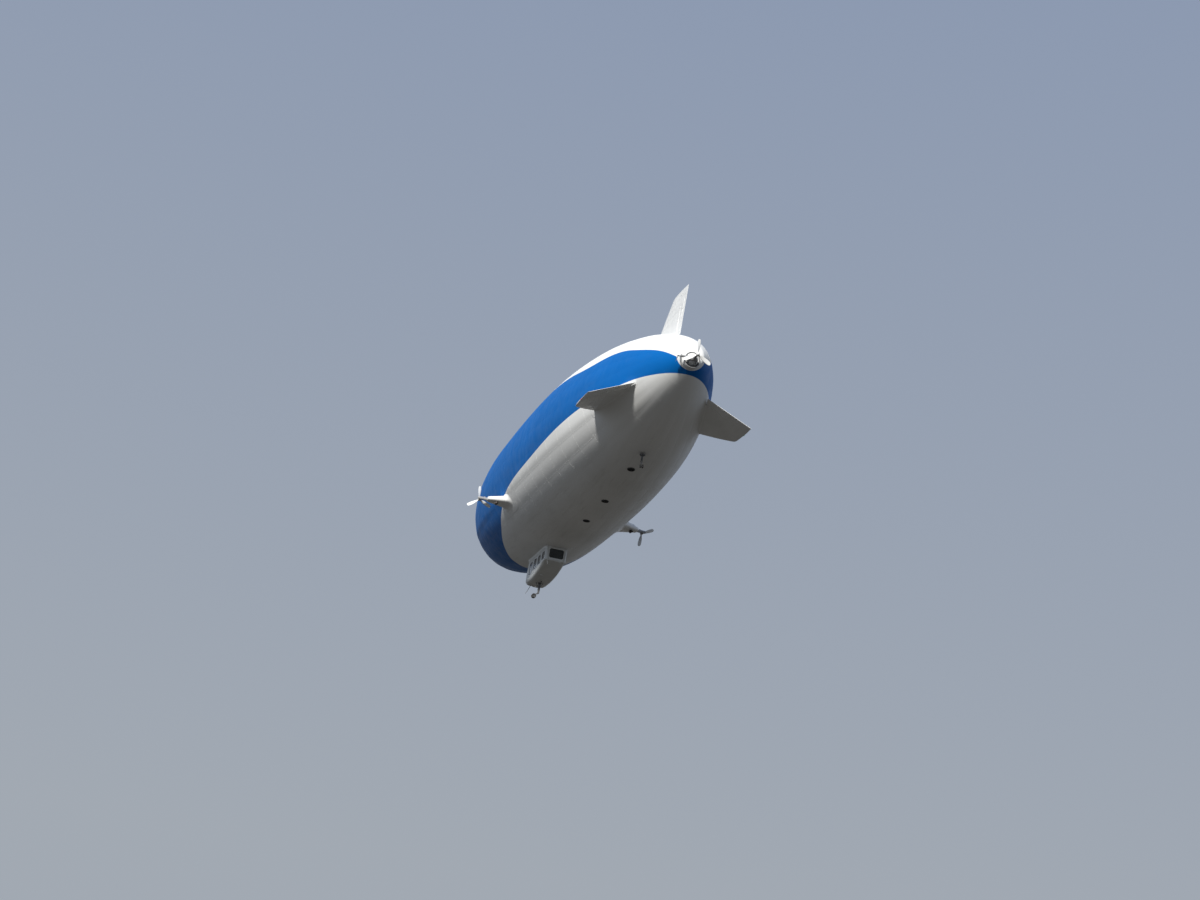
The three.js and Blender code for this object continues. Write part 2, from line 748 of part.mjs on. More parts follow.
const gondolaOuter = gondolaBlock(0);
const cabin = gondolaBlock(GONDOLA.wall).subtract(box(-2, 2, 19, 33, GONDOLA.ceilingZ, -5));
const gondolaWall = gondolaOuter.subtract(cabin).subtract(hullCut);
const paneShell = gondolaBlock(PANE.inset).subtract(gondolaBlock(PANE.inset + PANE.thickness));
const hingeX = GONDOLA.halfWidth + HINGE.offX;

function hingeLugs() {
  const { y, pinRadius, knuckleRadius, halfHeight, lugHeight, levels } = HINGE;
  const pieces = [];
  for (const z of levels) {
    for (const side of [-1, 1]) {
      const from = z + side * (halfHeight + GAP);
      const to = z + side * (halfHeight + lugHeight);
      const [low, high] = [Math.min(from, to), Math.max(from, to)];
      pieces.push(cylinder(knuckleRadius, 'z', low, high, [hingeX, y, 0], 16));
      pieces.push(box(GONDOLA.halfWidth - 0.02, hingeX, y - knuckleRadius, y + knuckleRadius, low, high));
    }
    const reach = halfHeight + lugHeight / 2;
    pieces.push(cylinder(pinRadius, 'z', z - reach, z + reach, [hingeX, y, 0], 16));
  }
  return pieces;
}

// The leaf stands in its opening; two straps reach over the gap to the hinge pins.
function passengerDoor() {
  const { y, pinRadius, knuckleRadius, halfHeight, levels } = HINGE;
  const leaf = gondolaWall.intersect(doorPrism(-DOOR.gap)).subtract(sideWindowPrism(1, ...DOOR_WINDOW, 0));
  const face = GONDOLA.halfWidth;
  const straps = levels.flatMap((z) => [
    cylinder(knuckleRadius, 'z', z - halfHeight, z + halfHeight, [hingeX, y, 0], 16),
    box(face + 0.012, face + 0.03, y, DOOR.frontY + 0.12, z - halfHeight, z + halfHeight),
    box(face - 0.02, face + 0.02, DOOR.frontY + 0.05, DOOR.frontY + 0.12, z - halfHeight, z + halfHeight),
  ]);
  const bore = cylinder(pinRadius + GAP, 'z', -9, -7, [hingeX, y, 0], 16);
  return join(leaf, ...straps).subtract(bore);
}

function gondolaShell() {
  const foot = MAIN_GEAR.footRadius + GAP;
  let shell = join(gondolaWall, ...hingeLugs())
    .subtract(windshieldPrism(0))
    .subtract(rearWindowPrism(0))
    .subtract(doorPrism(0))
    .subtract(sideWindowPrism(-1, ...DOOR_WINDOW, 0))
    .subtract(cylinder(foot, 'z', -11, GONDOLA.bellyZ + GONDOLA.wall / 2, [0, MAIN_GEAR.y, 0]));
  for (const [y, bottomZ] of SIDE_WINDOWS) {
    shell = shell.subtract(sideWindowPrism(1, y, bottomZ, 0)).subtract(sideWindowPrism(-1, y, bottomZ, 0));
  }
  return shell;
}

function cabinFloor() {
  const { topZ, thickness, frontY, backY, legYs } = FLOOR;
  const slab = box(-2, 2, frontY, backY, topZ - thickness, topZ);
  const legs = legYs.flatMap((y) => [-0.55, 0.55].map((x) => (
    box(x - 0.06, x + 0.06, y - 0.06, y + 0.06, GONDOLA.bellyZ + GONDOLA.wall + GAP, topZ - thickness / 2)
  )));
  return join(slab.intersect(gondolaBlock(GONDOLA.wall + GAP)), ...legs);
}

function seatAt(x, y, floorZ) {
  const { width, depth, cushion, height, back, legWidth } = SEAT;
  const cushionTop = floorZ + height;
  return [
    box(x - legWidth / 2, x + legWidth / 2, y + 0.1, y + depth - 0.1, floorZ, cushionTop),
    box(x - width / 2, x + width / 2, y, y + depth, cushionTop - cushion, cushionTop),
    box(x - width / 2, x + width / 2, y + depth - 0.1, y + depth + 0.02, cushionTop - cushion, cushionTop + back),
  ];
}

function seatRow(ys) {
  const base = FLOOR.topZ + GAP;
  const pieces = [];
  for (const x of [-SEAT.x, SEAT.x]) {
    pieces.push(box(x - 0.06, x + 0.06, ys[0], ys[ys.length - 1] + SEAT.depth, base, base + 0.03));
    for (const y of ys) pieces.push(...seatAt(x, y, base));
  }
  const middleY = ys[0] + SEAT.depth / 2;
  pieces.push(box(-SEAT.x, SEAT.x, middleY - 0.04, middleY + 0.04, base, base + 0.03));
  return join(...pieces);
}

function instrumentPanel() {
  const { y, depth, width, height, topZ } = PANEL;
  const console = box(-width / 2, width / 2, y, y + depth, topZ - height, topZ);
  const pedestal = box(-0.14, 0.14, y + 0.02, y + 0.5, FLOOR.topZ + GAP, topZ - 0.25);
  return join(console, pedestal).intersect(gondolaBlock(GONDOLA.wall + 0.02));
}

// Landing gear

function stemBore(gear) {
  const { y, legBottomZ, stemRadius } = gear;
  return cylinder(stemRadius + GAP, 'z', legBottomZ - 1, legBottomZ + 0.2 + GAP, [0, y, 0]);
}

function mainGearLeg() {
  const { y, legRadius, legBottomZ, footRadius, footDepth } = MAIN_GEAR;
  const belly = GONDOLA.bellyZ;
  const foot = cylinder(footRadius, 'z', belly - footDepth, belly + GONDOLA.wall / 2 - GAP, [0, y, 0]);
  const leg = cylinder(legRadius, 'z', legBottomZ, belly, [0, y, 0]);
  const brace = new THREE.Shape();
  brace.moveTo(y, -10.1);
  brace.lineTo(y + 0.72, belly - GAP);
  brace.lineTo(y + 0.86, belly - GAP);
  brace.lineTo(y + 0.86, belly - 0.05);
  brace.lineTo(y, -10.24);
  return join(foot, leg, alongX(brace, -0.03, 0.03)).subtract(stemBore(MAIN_GEAR));
}

function tailGearLeg() {
  const { y, legRadius, legBottomZ, footRadius, footDepth } = TAIL_GEAR;
  const hullZ = -hullRadius(y);
  const leg = cylinder(legRadius, 'z', legBottomZ, hullZ + 0.2, [0, y, 0]);
  const foot = turned([
    [0, hullZ - footDepth],
    [footRadius * 0.6, hullZ - footDepth],
    [footRadius, hullZ],
    [footRadius, hullZ + 0.2],
    [0, hullZ + 0.2],
  ], 'z', [0, y, 0]);
  return join(leg, foot).subtract(hullCut).subtract(stemBore(TAIL_GEAR));
}

// Castor and wheels are made trailing aft, then turned about the leg.
function turnedGear(gear, body) {
  const turned = surface(body);
  turned.rotateZ(radians(gear.turned));
  turned.translate(0, gear.y, 0);
  return solid(turned);
}

function gearCastor(gear) {
  const { legBottomZ, collarRadius, stemRadius, trail, axleZ, axleRadius, armThickness } = gear;
  const top = legBottomZ - GAP;
  const collar = cylinder(collarRadius, 'z', top - 0.13, top, [0, 0, 0]);
  const stem = cylinder(stemRadius, 'z', top - 0.1, legBottomZ + 0.2, [0, 0, 0]);
  const boss = axleRadius * 1.9;
  const arm = new THREE.Shape();
  arm.moveTo(-collarRadius * 0.5, top - 0.13);
  arm.lineTo(-collarRadius * 0.5, top - 0.02);
  arm.lineTo(collarRadius * 0.5, top - 0.02);
  arm.lineTo(trail + boss * 0.7, axleZ + boss * 0.7);
  arm.lineTo(trail - boss * 0.7, axleZ - boss * 0.7);
  const half = armThickness / 2;
  const end = cylinder(boss, 'x', -half, half, [0, trail, axleZ]);
  const bore = cylinder(axleRadius + GAP, 'x', -1, 1, [0, trail, axleZ]);
  return turnedGear(gear, join(collar, stem, alongX(arm, -half, half), end).subtract(bore));
}

function gearWheels(gear) {
  const { trail, axleZ, axleRadius, wheelRadius, tyreWidth, wheelSpacing } = gear;
  const tyres = [-wheelSpacing / 2, wheelSpacing / 2].map((x) => turned([
    [0, x - tyreWidth / 2],
    [wheelRadius * 0.55, x - tyreWidth / 2],
    [wheelRadius * 0.86, x - tyreWidth * 0.46],
    [wheelRadius, x - tyreWidth * 0.2],
    [wheelRadius, x + tyreWidth * 0.2],
    [wheelRadius * 0.86, x + tyreWidth * 0.46],
    [wheelRadius * 0.55, x + tyreWidth / 2],
    [0, x + tyreWidth / 2],
  ], 'x', [0, trail, axleZ], 24));
  const axle = cylinder(axleRadius, 'x', -wheelSpacing / 2, wheelSpacing / 2, [0, trail, axleZ]);
  return turnedGear(gear, join(...tyres, axle));
}

function bellyValve(y) {
  const { radius, height, rim } = VALVE;
  const base = -hullRadius(y);
  const disc = turned([
    [0, base - height * 0.5],
    [radius - rim, base - height * 0.5],
    [radius - rim, base - height],
    [radius, base - height],
    [radius, base + 0.2],
    [0, base + 0.2],
  ], 'z', [0, y, 0], 32);
  return disc.subtract(hullCut);
}

// The assembly

const airship = new THREE.Group();
airship.scale.setScalar(MM_PER_REAL_METRE);
airship.position.y = -LIFT_CENTRE_Y * MM_PER_REAL_METRE;

function add(name, body, look) {
  const mesh = new THREE.Mesh(closedSurface(surface(body)), new THREE.MeshStandardMaterial(MATERIALS[look]));
  mesh.name = name;
  airship.add(mesh);
}

add('envelope', envelope(), 'white');
add('nose_cone', noseCone(), 'blue');
add('mooring_probe', mooringProbe(), 'metal');
add('tail_cone', tailCone(), 'white');

for (const [finName, flapName, angle] of FINS) {
  add(finName, fixedFin(angle), 'white');
  add(flapName, controlSurface(angle), 'white');
}

// Columns: side's name, sign of X, first blade's turn from upright in degrees
const SIDES = [
  ['port', 1, 5],
  ['starboard', -1, 56],
];
for (const [name, side, firstBlade] of SIDES) {
  add(`${name}_engine_pod`, mirrored(enginePod(), side), 'white');
  add(`${name}_engine_block`, mirrored(sideEngineBlock(), side), 'dark');
  add(`${name}_swivel_gearbox`, mirrored(swivelGearbox(), side), 'grey');
  add(`${name}_propeller`, sidePropeller(side, firstBlade), 'white');
}

add('stern_cowl', sternCowl(), 'grey');
add('tail_engine_block', tailEngineBlock(), 'dark');
add('tail_gearbox', tailGearbox(), 'metal');
add('tail_propeller', tailPropeller(), 'white');
add('lateral_propeller', lateralPropeller(), 'white');

add('gondola_shell', gondolaShell(), 'white');
add('cabin_floor', cabinFloor(), 'grey');
add('windshield', paneShell.intersect(windshieldPrism(-GAP)), 'glass');
add('rear_window', paneShell.intersect(rearWindowPrism(-GAP)), 'glass');
SIDE_WINDOWS.forEach(([y, bottomZ], i) => {
  add(`port_window_${i + 1}`, paneShell.intersect(sideWindowPrism(1, y, bottomZ, -GAP)), 'glass');
  add(`starboard_window_${i + 1}`, paneShell.intersect(sideWindowPrism(-1, y, bottomZ, -GAP)), 'glass');
});
add('starboard_window_4', paneShell.intersect(sideWindowPrism(-1, ...DOOR_WINDOW, -GAP)), 'glass');
add('passenger_door', passengerDoor(), 'white');
add('door_window', paneShell.intersect(sideWindowPrism(1, ...DOOR_WINDOW, -GAP)), 'glass');
add('pilot_seats', seatRow([PILOT_SEAT_Y]), 'fabric');
add('passenger_seats', seatRow(PASSENGER_SEAT_YS), 'fabric');
add('instrument_panel', instrumentPanel(), 'dark');

add('main_gear_leg', mainGearLeg(), 'white');
add('main_gear_castor', gearCastor(MAIN_GEAR), 'white');
add('main_gear_wheels', gearWheels(MAIN_GEAR), 'rubber');
add('tail_gear_leg', tailGearLeg(), 'white');
add('tail_gear_castor', gearCastor(TAIL_GEAR), 'white');
add('tail_gear_wheels', gearWheels(TAIL_GEAR), 'rubber');
for (const [name, y] of VALVES) add(name, bellyValve(y), 'dark');

export default airship;
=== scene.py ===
import json
import math

import bmesh
import bpy
from mathutils import Matrix, Vector
from mathutils.bvhtree import BVHTree


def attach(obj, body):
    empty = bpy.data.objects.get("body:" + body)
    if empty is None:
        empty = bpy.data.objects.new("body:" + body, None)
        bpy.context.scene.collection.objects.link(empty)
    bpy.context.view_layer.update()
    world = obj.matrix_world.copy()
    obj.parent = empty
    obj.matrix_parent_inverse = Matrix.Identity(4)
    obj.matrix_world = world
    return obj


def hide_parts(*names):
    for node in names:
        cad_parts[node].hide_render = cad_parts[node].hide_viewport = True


# The looks of the airship. Builders below work in the real airship's metres: X to port, Y aft from
# the tip of the nose, Z up from the hull's axis. The frame holds the model at half that size.

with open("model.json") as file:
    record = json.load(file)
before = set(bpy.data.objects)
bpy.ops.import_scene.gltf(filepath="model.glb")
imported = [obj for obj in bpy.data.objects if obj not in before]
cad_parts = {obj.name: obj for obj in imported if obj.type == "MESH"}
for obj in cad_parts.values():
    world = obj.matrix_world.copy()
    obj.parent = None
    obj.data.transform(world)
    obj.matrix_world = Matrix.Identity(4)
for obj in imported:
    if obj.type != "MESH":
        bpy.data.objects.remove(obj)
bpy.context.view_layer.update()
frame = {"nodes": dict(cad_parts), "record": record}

HALF = 0.5
LIFT_Y = 34.0


def at(point):
    return Vector((point[0] * HALF, (point[1] - LIFT_Y) * HALF, point[2] * HALF))


# Camera, where the photographer stood: on the floor, behind the airship and to its port side

CAMERA_PLACE = Vector((15.95, 81.77, -23.58))
CAMERA_AIM = Vector((0.35, 6.74, -0.63))
CAMERA_ROLL = 8.95
CAMERA_LENS = 52.47
FLOOR_Z = CAMERA_PLACE.z

camera = bpy.data.objects.new("camera", bpy.data.cameras.new("camera"))
bpy.context.scene.collection.objects.link(camera)
camera.data.lens = CAMERA_LENS
camera.data.sensor_width = 36.0
camera.data.clip_start = 0.5
camera.data.clip_end = 4000.0
level_camera = (CAMERA_AIM - CAMERA_PLACE).to_track_quat("-Z", "Y").to_matrix().to_4x4()
camera.matrix_world = (Matrix.Translation(CAMERA_PLACE) @ level_camera
                       @ Matrix.Rotation(math.radians(CAMERA_ROLL), 4, "Z"))
bpy.context.scene.camera = camera
bpy.context.scene.view_settings.view_transform = "Standard"


# Shaders

class Look:
    """A Principled material whose colour, roughness and relief come from nodes."""

    def __init__(self, name, roughness=0.5, metallic=0.0, coat=0.0, sheen=0.0, glow=0.0):
        self.material = bpy.data.materials.new(name)
        self.material.use_nodes = True
        self.tree = self.material.node_tree
        self.shader = self.tree.nodes["Principled BSDF"]
        self.shader.inputs["Roughness"].default_value = roughness
        self.shader.inputs["Metallic"].default_value = metallic
        self.shader.inputs["Coat Weight"].default_value = coat
        self.shader.inputs["Coat Roughness"].default_value = 0.15
        self.shader.inputs["Sheen Weight"].default_value = sheen
        self.shader.inputs["Emission Strength"].default_value = glow
        self.place = self.node("ShaderNodeTexCoord").outputs["Object"]

    def node(self, kind, *values, **options):
        made = self.tree.nodes.new(kind)
        for key, value in options.items():
            setattr(made, key, value)
        for socket, value in zip(made.inputs, values):
            self.feed(socket, value)
        return made

    def feed(self, socket, value):
        if value is None:
            return
        if isinstance(value, bpy.types.NodeSocket):
            self.tree.links.new(value, socket)
        else:
            socket.default_value = value

    def maths(self, operation, a, b=None, clamp=False):
        return self.node("ShaderNodeMath", a, b, operation=operation, use_clamp=clamp).outputs[0]

    def steps(self, value, low, high, to_low=0.0, to_high=1.0):
        made = self.node("ShaderNodeMapRange", value, low, high, to_low, to_high,
                         interpolation_type="SMOOTHSTEP")
        return made.outputs[0]

    def stretched(self, scale):
        return self.node("ShaderNodeMapping", self.place, None, None, scale).outputs[0]

    def noise(self, scale, detail, stretch=None):
        made = self.node("ShaderNodeTexNoise")
        self.feed(made.inputs["Vector"], self.stretched(stretch) if stretch else self.place)
        made.inputs["Scale"].default_value = scale
        made.inputs["Detail"].default_value = detail
        return made.outputs["Fac"]

    def mix(self, share, a, b):
        made = self.node("ShaderNodeMix", data_type="RGBA", blend_type="MIX")
        self.feed(made.inputs[0], share)
        self.feed(made.inputs[6], a if isinstance(a, bpy.types.NodeSocket) else (*a, 1.0))
        self.feed(made.inputs[7], b if isinstance(b, bpy.types.NodeSocket) else (*b, 1.0))
        return made.outputs[2]

    def paint(self, colour):
        self.feed(self.shader.inputs["Base Color"], colour)

    def rough(self, low, high, by):
        self.feed(self.shader.inputs["Roughness"], self.steps(by, 0.25, 0.75, low, high))

    def relief(self, height, depth, strength):
        made = self.node("ShaderNodeBump")
        made.inputs["Strength"].default_value = strength
        made.inputs["Distance"].default_value = depth
        self.feed(made.inputs["Height"], height)
        self.feed(self.shader.inputs["Normal"], made.outputs["Normal"])


def varied(look, colour, dirt=(0.25, 0.23, 0.2), *, dirt_share, scale, tone=0.93):
    """A colour with soft tonal drift and stains that gather in patches."""
    drift = look.steps(look.noise(scale, 4.0), 0.3, 0.7)
    base = look.mix(drift, colour, [c * tone for c in colour])
    stains = look.steps(look.noise(scale * 2.3, 8.0, (1.0, 0.35, 1.6)), 0.56, 0.8, 0.0, dirt_share)
    return look.mix(stains, base, dirt)


WHITE = (0.8, 0.805, 0.79)
BLUE = (0.001, 0.124, 0.43)
# The band's two edges on the hull's sides. Columns: Y, Z
BLUE_BAND_TOP = [(8, 8), (17, 6.9), (28, 5.5), (40, 4.5), (52, 3.2), (58, 2.4), (64, 2.2), (68, 1.4),
                 (72.3, 0.1), (74, -1.5)]
BLUE_BAND_FOOT = [(8, -8), (15, -7.3), (19, -6.4), (24.5, -5.2), (30, -3.75), (34, -3), (45, -2.35),
                  (58, -1.5),
                  (65, -1.25), (71, -1.3), (74, -1.6)]
BAND_BACK_Y = 73.02
# The edges' curves run between these two Y, and this far above and below the axis.
BAND_START_Y = 8.0
BAND_END_Y = 74.0
BAND_REACH = 8.0
BAND_EDGE = 0.02


def envelope_look():
    look = Look("envelope_laminate", roughness=0.5)
    look.shader.inputs["Specular IOR Level"].default_value = 0.12
    split = look.node("ShaderNodeSeparateXYZ", look.place)
    y = look.maths("MULTIPLY_ADD", split.outputs[1], 1 / HALF)
    y.node.inputs[2].default_value = LIFT_Y
    z = look.maths("MULTIPLY", split.outputs[2], 1 / HALF)
    masks = []
    for points, sign in ((BLUE_BAND_TOP, 1.0), (BLUE_BAND_FOOT, -1.0)):
        share = look.node("ShaderNodeMapRange", y, BAND_START_Y, BAND_END_Y, 0.0, 1.0).outputs[0]
        made = look.node("ShaderNodeFloatCurve")
        curve = made.mapping.curves[0]
        placed = [((py - BAND_START_Y) / (BAND_END_Y - BAND_START_Y), (pz + BAND_REACH) / (2 * BAND_REACH))
                  for py, pz in points]
        curve.points[0].location = placed[0]
        curve.points[1].location = placed[-1]
        for place in placed[1:-1]:
            curve.points.new(*place)
        made.mapping.update()
        look.feed(made.inputs["Value"], share)
        limit = look.node("ShaderNodeMapRange", made.outputs[0], 0.0, 1.0, -BAND_REACH,
                          BAND_REACH).outputs[0]
        inside = look.maths("MULTIPLY", look.maths("SUBTRACT", limit, z), sign)
        masks.append(look.steps(inside, -BAND_EDGE, BAND_EDGE))
    masks.append(look.steps(y, BAND_BACK_Y - BAND_EDGE, BAND_BACK_Y + BAND_EDGE, 1.0, 0.0))
    band = look.maths("MULTIPLY", look.maths("MULTIPLY", masks[0], masks[1]), masks[2])

    drift = look.steps(look.noise(0.35, 4.0), 0.3, 0.7)
    white = look.mix(drift, WHITE, (0.755, 0.76, 0.745))
    blue = look.mix(drift, BLUE, (0.001, 0.115, 0.4))
    colour = look.mix(band, white, blue)
    # Rain streaks and grime gather on the underside.
    low = look.steps(z, -2.0, -6.6)
    streaks = look.steps(look.noise(3.2, 9.0, (2.2, 0.22, 0.5)), 0.5, 0.78)
    blotches = look.steps(look.noise(0.55, 6.0, (1.0, 0.5, 1.0)), 0.45, 0.75)
    grime = look.maths("MULTIPLY", look.maths("ADD", look.maths("MULTIPLY", streaks, 0.14),
                                             look.maths("MULTIPLY", blotches, 0.1)), low)
    light_grime = look.maths("MULTIPLY", look.steps(look.noise(1.4, 8.0, (1.5, 0.3, 1.5)), 0.52, 0.8), 0.04)
    colour = look.mix(look.maths("ADD", grime, light_grime, True), colour, (0.21, 0.2, 0.18))
    look.paint(colour)
    look.rough(0.44, 0.58, look.noise(2.0, 5.0))
    # A fine laminate grain with slack ripples that run along the gores
    grain = look.maths("MULTIPLY", look.noise(240.0, 2.0), 0.12)
    ripples = look.noise(2.4, 3.0, (1.0, 0.18, 1.0))
    look.relief(look.maths("ADD", ripples, grain), 0.003, 0.25)
    return look.material


ORANGE_PEEL_DEPTH = 0.0015


def painted(name, colour, roughness, coat, dirt_share, scale):
    look = Look(name, roughness=roughness, coat=coat)
    look.paint(varied(look, colour, dirt_share=dirt_share, scale=scale))
    look.rough(roughness - 0.08, roughness + 0.14, look.noise(scale * 5, 5.0))
    orange_peel = look.maths("ADD", look.noise(90.0, 2.0),
                             look.maths("MULTIPLY", look.noise(9.0, 3.0), 1.5))
    look.relief(orange_peel, ORANGE_PEEL_DEPTH, 0.4)
    return look.material


def metal(name, colour, roughness=0.35, stretch=(1.0, 1.0, 18.0), tarnish=(0.28, 0.26, 0.24)):
    look = Look(name, roughness=roughness, metallic=0.9)
    patches = look.steps(look.noise(6.0, 6.0), 0.45, 0.8, 0.0, 0.55)
    look.paint(look.mix(patches, colour, tarnish))
    brushed = look.noise(70.0, 3.0, stretch)
    look.rough(roughness - 0.1, roughness + 0.18, brushed)
    look.relief(brushed, 0.0006, 0.5)
    return look.material


def rubber(name, colour=(0.022, 0.022, 0.023)):
    look = Look(name, roughness=0.75)
    dust = look.steps(look.noise(14.0, 7.0), 0.48, 0.75, 0.0, 0.45)
    look.paint(look.mix(dust, colour, (0.11, 0.105, 0.095)))
    look.rough(0.62, 0.88, look.noise(30.0, 4.0))
    look.relief(look.noise(260.0, 2.0), 0.0008, 0.5)
    return look.material


def plastic(name, colour, roughness=0.55, leather=160.0):
    look = Look(name, roughness=roughness)
    look.paint(varied(look, colour, dirt=(0.3, 0.29, 0.27), dirt_share=0.16, scale=5.0, tone=0.85))
    look.rough(roughness - 0.1, roughness + 0.12, look.noise(12.0, 4.0))
    look.relief(look.noise(leather, 3.0), 0.0008, 0.6)
    return look.material


def woven(name, colour, thread):
    look = Look(name, roughness=0.9, sheen=0.35)
    threads = []
    for direction in ("X", "Z"):
        wave = look.node("ShaderNodeTexWave", look.place, wave_type="BANDS", bands_direction=direction)
        wave.inputs["Scale"].default_value = thread / 6.0
        wave.inputs["Distortion"].default_value = 0.6
        threads.append(wave.outputs["Fac"])
    weave = look.maths("MULTIPLY", *threads)
    worn = look.steps(look.noise(7.0, 6.0), 0.4, 0.75, 0.0, 0.6)
    base = look.mix(worn, colour, [min(c * 1.7 + 0.02, 1) for c in colour])
    look.paint(look.mix(look.steps(weave, 0.1, 0.8), base, [c * 0.55 for c in colour]))
    look.relief(weave, 0.0012, 0.7)
    return look.material


def glazing(name, colour=(0.13, 0.15, 0.16)):
    look = Look(name, roughness=0.06, coat=0.6)
    look.shader.inputs["Transmission Weight"].default_value = 0.75
    look.shader.inputs["IOR"].default_value = 1.49
    smears = look.steps(look.noise(4.0, 7.0, (1.0, 1.0, 0.4)), 0.5, 0.8)
    look.paint(look.mix(smears, colour, [c * 1.5 for c in colour]))
    look.rough(0.04, 0.13, look.noise(6.0, 6.0))
    look.relief(look.noise(1.6, 2.0), 0.002, 0.15)
    return look.material


def lamp(name, colour, glow):
    look = Look(name, roughness=0.2, glow=glow)
    rings = look.noise(60.0, 2.0)
    look.paint(look.mix(look.steps(rings, 0.3, 0.7), colour, [c * 0.7 for c in colour]))
    look.shader.inputs["Emission Color"].default_value = (*colour, 1.0)
    look.relief(rings, 0.001, 0.5)
    return look.material


LOOKS = {
    "envelope": envelope_look(),
    "white": painted("white_composite", WHITE, 0.36, 0.25, 0.1, 1.1),
    "fin": painted("white_fin_skin", WHITE, 0.42, 0.15, 0.08, 0.8),
    "gondola": painted("white_gondola_shell", (0.63, 0.645, 0.63), 0.38, 0.2, 0.12, 1.8),
    "grey": painted("grey_enamel", (0.3, 0.305, 0.31), 0.42, 0.2, 0.4, 4.0),
    "leg": painted("leg_enamel", (0.1, 0.102, 0.106), 0.42, 0.2, 0.3, 6.0),
    "liner": painted("cabin_liner", (0.62, 0.62, 0.6), 0.6, 0.0, 0.15, 3.0),
    "bare": metal("bare_aluminium", (0.7, 0.71, 0.72)),
    "steel": metal("dark_steel", (0.2, 0.2, 0.205), 0.45),
    "exhaust": metal("heat_stained_steel", (0.09, 0.08, 0.075), 0.5, tarnish=(0.03, 0.03, 0.035)),
    "engine": metal("cast_engine_casing", (0.11, 0.115, 0.12), 0.55, (3.0, 3.0, 3.0), (0.05, 0.045, 0.04)),
    "dark": plastic("dark_moulding", (0.03, 0.031, 0.033)),
    # Near-black for the insides of intakes, vents and the cowl's open back: painted shade for their depth.
    "void": plastic("shadowed_inside", (0.012, 0.012, 0.013), 0.85),
    "floor": plastic("ribbed_floor", (0.16, 0.165, 0.17), 0.65, 90.0),
    "panel": plastic("instrument_panel", (0.05, 0.052, 0.056), 0.6),
    "rubber": rubber("tyre_rubber"),
    "seal": rubber("window_seal", (0.03, 0.03, 0.032)),
    "seat": woven("seat_cloth", (0.05, 0.085, 0.19), 420.0),
    "glass": glazing("tinted_glazing"),
    "screen": glazing("instrument_glass", (0.01, 0.016, 0.02)),
    "red": lamp("red_lens", (0.6, 0.02, 0.015), 0.15),
    "green": lamp("green_lens", (0.02, 0.45, 0.12), 0.15),
    "clear": lamp("clear_lens", (0.75, 0.76, 0.74), 0.1),
}


# Shapes, gathered in real metres and made into pieces

# A place that depends on itself through the hull's curve settles within these passes.
SETTLING_PASSES = 4


def rounded(u0, u1, v0, v1, corner, steps):
    """The outline of a rectangle with round corners."""
    points = []
    for cu, cv, start in ((u1 - corner, v0 + corner, -90), (u1 - corner, v1 - corner, 0),
                          (u0 + corner, v1 - corner, 90), (u0 + corner, v0 + corner, 180)):
        for i in range(steps + 1):
            a = math.radians(start + 90 * i / steps)
            points.append((cu + corner * math.cos(a), cv + corner * math.sin(a)))
    return points


def squared(angle, power):
    """A point on a unit circle that a power below 1 squares off."""
    c, s = math.cos(angle), math.sin(angle)
    return math.copysign(abs(c) ** power, c), math.copysign(abs(s) ** power, s)


def strip(half, flat_half, lift, sunk):
    """Across a raised strip with bevelled sides. Columns: distance from its middle, height."""
    return (-half, -sunk), (-flat_half, lift), (flat_half, lift), (half, -sunk)


def smooth_table(table, where):
    """Interpolates the rows of a table, whose first column grows, without overshoot."""
    if where <= table[0][0]:
        return list(table[0][1:])
    for i, (low, high) in enumerate(zip(table, table[1:])):
        if where <= high[0]:
            t = (where - low[0]) / (high[0] - low[0])
            before = table[max(i - 1, 0)]
            after = table[min(i + 2, len(table) - 1)]
            values = []
            for k in range(1, len(low)):
                step = high[0] - low[0]
                slope_low = (high[k] - before[k]) / (high[0] - before[0]) * step
                slope_high = (after[k] - low[k]) / (after[0] - low[0]) * step
                values.append((2 * t ** 3 - 3 * t ** 2 + 1) * low[k] + (t ** 3 - 2 * t ** 2 + t) * slope_low
                              + (-2 * t ** 3 + 3 * t ** 2) * high[k] + (t ** 3 - t ** 2) * slope_high)
            return values
    return list(table[-1][1:])


